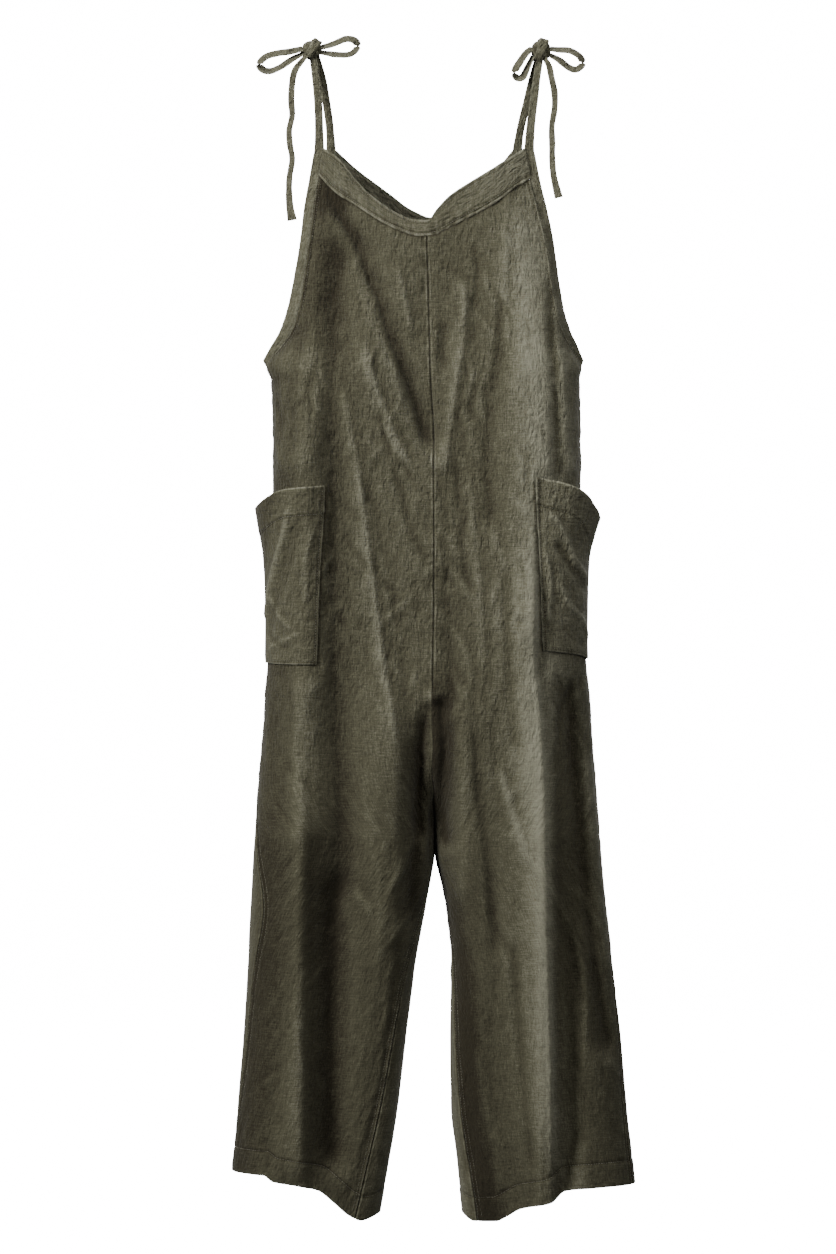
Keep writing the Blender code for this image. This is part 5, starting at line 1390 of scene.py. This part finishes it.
def cloth_material(name, low, base, high):
    """Washed linen from its darkest to its lightest colour, with slubs and weave in metres of cloth."""
    material = bpy.data.materials.new(name)
    material.use_nodes = True
    tree = material.node_tree
    nodes, links = tree.nodes, tree.links
    shader = nodes["Principled BSDF"]
    shader.inputs["Roughness"].default_value = 0.96
    shader.inputs["Specular IOR Level"].default_value = 0.18
    shader.inputs["Sheen Weight"].default_value = 0.10
    shader.inputs["Sheen Roughness"].default_value = 0.55
    shader.inputs["Sheen Tint"].default_value = (0.80, 0.80, 0.72, 1.0)

    def node(kind, **values):
        item = nodes.new(kind)
        for key, value in values.items():
            if key in item.inputs:
                item.inputs[key].default_value = value
            else:
                setattr(item, key, value)
        return item

    cloth = node("ShaderNodeUVMap", uv_map="cloth")

    def yarn(scale, detail=2.0, rough=0.6, turn=0.0):
        """Noise with so many features a metre across and down the cloth, turned a little."""
        place = node("ShaderNodeMapping")
        place.inputs["Rotation"].default_value = (0.0, 0.0, turn)
        place.inputs["Scale"].default_value = (scale[0], scale[1], 1.0)
        links.new(cloth.outputs["UV"], place.inputs["Vector"])
        grain = node("ShaderNodeTexNoise", Scale=1.0, Detail=detail, Roughness=rough)
        grain.noise_dimensions = "2D"
        links.new(place.outputs["Vector"], grain.inputs["Vector"])
        return grain.outputs["Fac"]

    def worked_out(operation, a, b):
        item = node("ShaderNodeMath", operation=operation)
        for i, value in enumerate((a, b)):
            if isinstance(value, (int, float)):
                item.inputs[i].default_value = value
            else:
                links.new(value, item.inputs[i])
        return item.outputs[0]

    def times(a, b):
        return worked_out("MULTIPLY", a, b)

    def plus(first, *others):
        for other in others:
            first = worked_out("ADD", first, other)
        return first

    def about_nought(noise_output):
        """Noise that runs from 0 to 1, moved to run from minus to plus a half."""
        return worked_out("SUBTRACT", noise_output, 0.5)

    def bump_node(height, distance, below=None, strength=1.0):
        """A normal that follows the height, over the bump below it."""
        item = node("ShaderNodeBump", Strength=strength, Distance=distance)
        links.new(height, item.inputs["Height"])
        if below:
            links.new(below, item.inputs["Normal"])
        return item.outputs["Normal"]

    down = yarn((900.0, 60.0))
    over = yarn((70.0, 800.0))
    heather = yarn((620.0, 480.0), detail=2.0, rough=0.7)
    patch = yarn((22.0, 14.0), detail=3.0, rough=0.55)
    slub = plus(times(down, 0.5), times(over, 0.5))

    # The crest attribute brings in the painted light and shade set on each mesh; slubs, heather and patches
    # are the linen's own tone.
    crest = node("ShaderNodeAttribute", attribute_name="crest").outputs["Fac"]
    tone = plus(plus(times(crest, 0.38), times(about_nought(slub), 0.80)),
                plus(times(about_nought(heather), 0.40), times(about_nought(patch), 0.12)), 0.5)
    ramp = node("ShaderNodeValToRGB")
    ramp.color_ramp.elements[0].position = 0.08
    ramp.color_ramp.elements[0].color = (*low, 1.0)
    ramp.color_ramp.elements[1].position = 0.95
    ramp.color_ramp.elements[1].color = (*high, 1.0)
    middle = ramp.color_ramp.elements.new(0.50)
    middle.color = (*base, 1.0)
    links.new(tone, ramp.inputs["Fac"])
    links.new(ramp.outputs["Color"], shader.inputs["Base Color"])

    threads = []
    for direction in ("X", "Y"):
        wave = node("ShaderNodeTexWave", Scale=420.0, Distortion=1.2, Detail=1.0)
        wave.wave_type = "BANDS"
        wave.bands_direction = direction
        wave.inputs["Detail Scale"].default_value = 0.6
        links.new(cloth.outputs["UV"], wave.inputs["Vector"])
        threads.append(wave.outputs["Fac"])
    weave = plus(times(times(threads[0], threads[1]), 0.35), times(slub, 0.9), times(heather, 0.5))

    # Soft rumpling and sharper puckers, both calmer down the legs.
    apart = node("ShaderNodeSeparateXYZ")
    links.new(cloth.outputs["UV"], apart.inputs["Vector"])
    calming = node("ShaderNodeMapRange",
                   **{"From Min": -0.92, "From Max": -0.66, "To Min": 0.45, "To Max": 1.0})
    links.new(apart.outputs["Y"], calming.inputs["Value"])
    calm = calming.outputs["Result"]
    rumple = yarn((75.0, 30.0), detail=3.5, rough=0.62, turn=0.35)
    crossing = yarn((34.0, 62.0), detail=3.0, rough=0.6, turn=-0.25)
    ridge = worked_out("ABSOLUTE", about_nought(rumple), 0.0)
    crease = worked_out("SUBTRACT", times(crossing, 0.8), times(ridge, 1.6))
    puckers = [worked_out("ABSOLUTE", about_nought(yarn(scale, rough=0.55, turn=turn)), 0.0)
               for scale, turn in (((175.0, 70.0), 0.55), ((150.0, 80.0), -0.70), ((90.0, 36.0), 0.10))]
    wrinkled = bump_node(times(crease, calm), 0.0026)
    puckered = bump_node(times(times(plus(*puckers), calm), -1.0), 0.0032, wrinkled)
    links.new(bump_node(weave, 0.0005, puckered, strength=0.55), shader.inputs["Normal"])
    return material


linen = cloth_material("linen", (0.016, 0.013, 0.006), (0.060, 0.057, 0.034), (0.172, 0.168, 0.122))
thread = cloth_material("thread", (0.090, 0.085, 0.060), (0.150, 0.145, 0.108), (0.210, 0.205, 0.160))

sheets = [panel(side, face) for side in (RIGHT, LEFT) for face in (FRONT, BACK)]
sheets += [neck_band(face) for face in (FRONT, BACK)]
for side in (RIGHT, LEFT):
    sheets += [binding(side), pocket(side)]
    knot(side)
sheets += [tie(name) for name in TIES]

for item, sewn, flat, area in sheets:
    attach(item, "root")
    if sewn:
        seam = mesh_piece(item.name.replace("_cloth", "_stitches"), sewn, thread, sharp=80)
        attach(seam, "root")
    if area is not None:
        area = min(area, flat[0] * flat[1])
for side in (RIGHT, LEFT):
    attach(bpy.data.objects["knot_" + named(side) + "_cloth"], "root")


def backdrop():
    """A pale round studio, floor and wall in one sweep."""
    spots, floor, wall, corner = 72, -1.62, 10.0, 2.4
    start = wall - corner
    line = [(1.0, floor), (start, floor)]
    line += [(start + corner * math.sin(t), floor + corner * (1 - math.cos(t)))
             for t in np.linspace(0.1, math.pi / 2, 14)]
    line += [(wall, 4.0), (wall, 8.0)]
    verts = [(0.0, 0.0, floor)]
    for radius, z in line:
        for k in range(spots):
            turn = 2 * math.pi * k / spots
            verts.append((radius * math.sin(turn), radius * math.cos(turn), z))
    faces = [(0, 1 + (k + 1) % spots, 1 + k) for k in range(spots)]
    for i in range(len(line) - 1):
        for k in range(spots):
            a, b = 1 + i * spots + k, 1 + i * spots + (k + 1) % spots
            faces.append((a, b, b + spots, a + spots))
    mesh = bpy.data.meshes.new("backdrop")
    mesh.from_pydata(verts, [], faces)
    mesh.shade_smooth()
    material = bpy.data.materials.new("backdrop")
    material.use_nodes = True
    shader = material.node_tree.nodes["Principled BSDF"]
    shader.inputs["Base Color"].default_value = (0.93, 0.93, 0.93, 1.0)
    shader.inputs["Roughness"].default_value = 1.0
    shader.inputs["Specular IOR Level"].default_value = 0.0
    shader.inputs["Emission Color"].default_value = (1.0, 1.0, 1.0, 1.0)
    shader.inputs["Emission Strength"].default_value = 16.0
    mesh.materials.append(material)
    item = bpy.data.objects.new("backdrop", mesh)
    item.visible_diffuse = False
    item.visible_glossy = False
    bpy.context.scene.collection.objects.link(item)


backdrop()


def lamp(name, place, size, power, target=(0.0, 0.0, -0.70)):
    """A soft rectangular lamp at a place, turned to its target."""
    light = bpy.data.lights.new(name, "AREA")
    light.shape = "RECTANGLE"
    light.size, light.size_y = size
    light.energy = power
    item = bpy.data.objects.new(name, light)
    item.location = place
    item.rotation_euler = (Vector(target) - Vector(place)).to_track_quat("-Z", "Y").to_euler()
    bpy.context.scene.collection.objects.link(item)


lamp("key", (-3.0, -2.15, 1.20), (0.8, 1.1), 300.0, target=(0.0, 0.0, -0.45))
lamp("fill", (0.6, -4.6, 0.9), (2.4, 2.0), 22.0)
lamp("side", (1.15, -1.35, 0.35), (0.5, 0.8), 15.0, target=(0.15, 0.0, -0.50))
lamp("top", (0.3, -0.9, 2.2), (1.4, 1.0), 30.0)
lamp("back_key", (1.6, 4.2, 1.3), (1.2, 1.2), 170.0)
lamp("back_fill", (-2.0, 3.6, 0.2), (1.2, 1.2), 70.0)

world = bpy.data.worlds.new("studio")
world.use_nodes = True
world.node_tree.nodes["Background"].inputs["Color"].default_value = (1.0, 1.0, 1.0, 1.0)
world.node_tree.nodes["Background"].inputs["Strength"].default_value = 0.08
bpy.context.scene.world = world

camera = bpy.data.cameras.new("camera")
camera.sensor_fit = "AUTO"
camera.sensor_width = 36.0
camera.lens = 141.2
camera.clip_end = 60.0
eye = bpy.data.objects.new("camera", camera)
eye.location = (-0.0134, -6.0, -0.694)
eye.rotation_euler = (math.pi / 2, 0.0, 0.0)
bpy.context.scene.collection.objects.link(eye)
bpy.context.scene.camera = eye
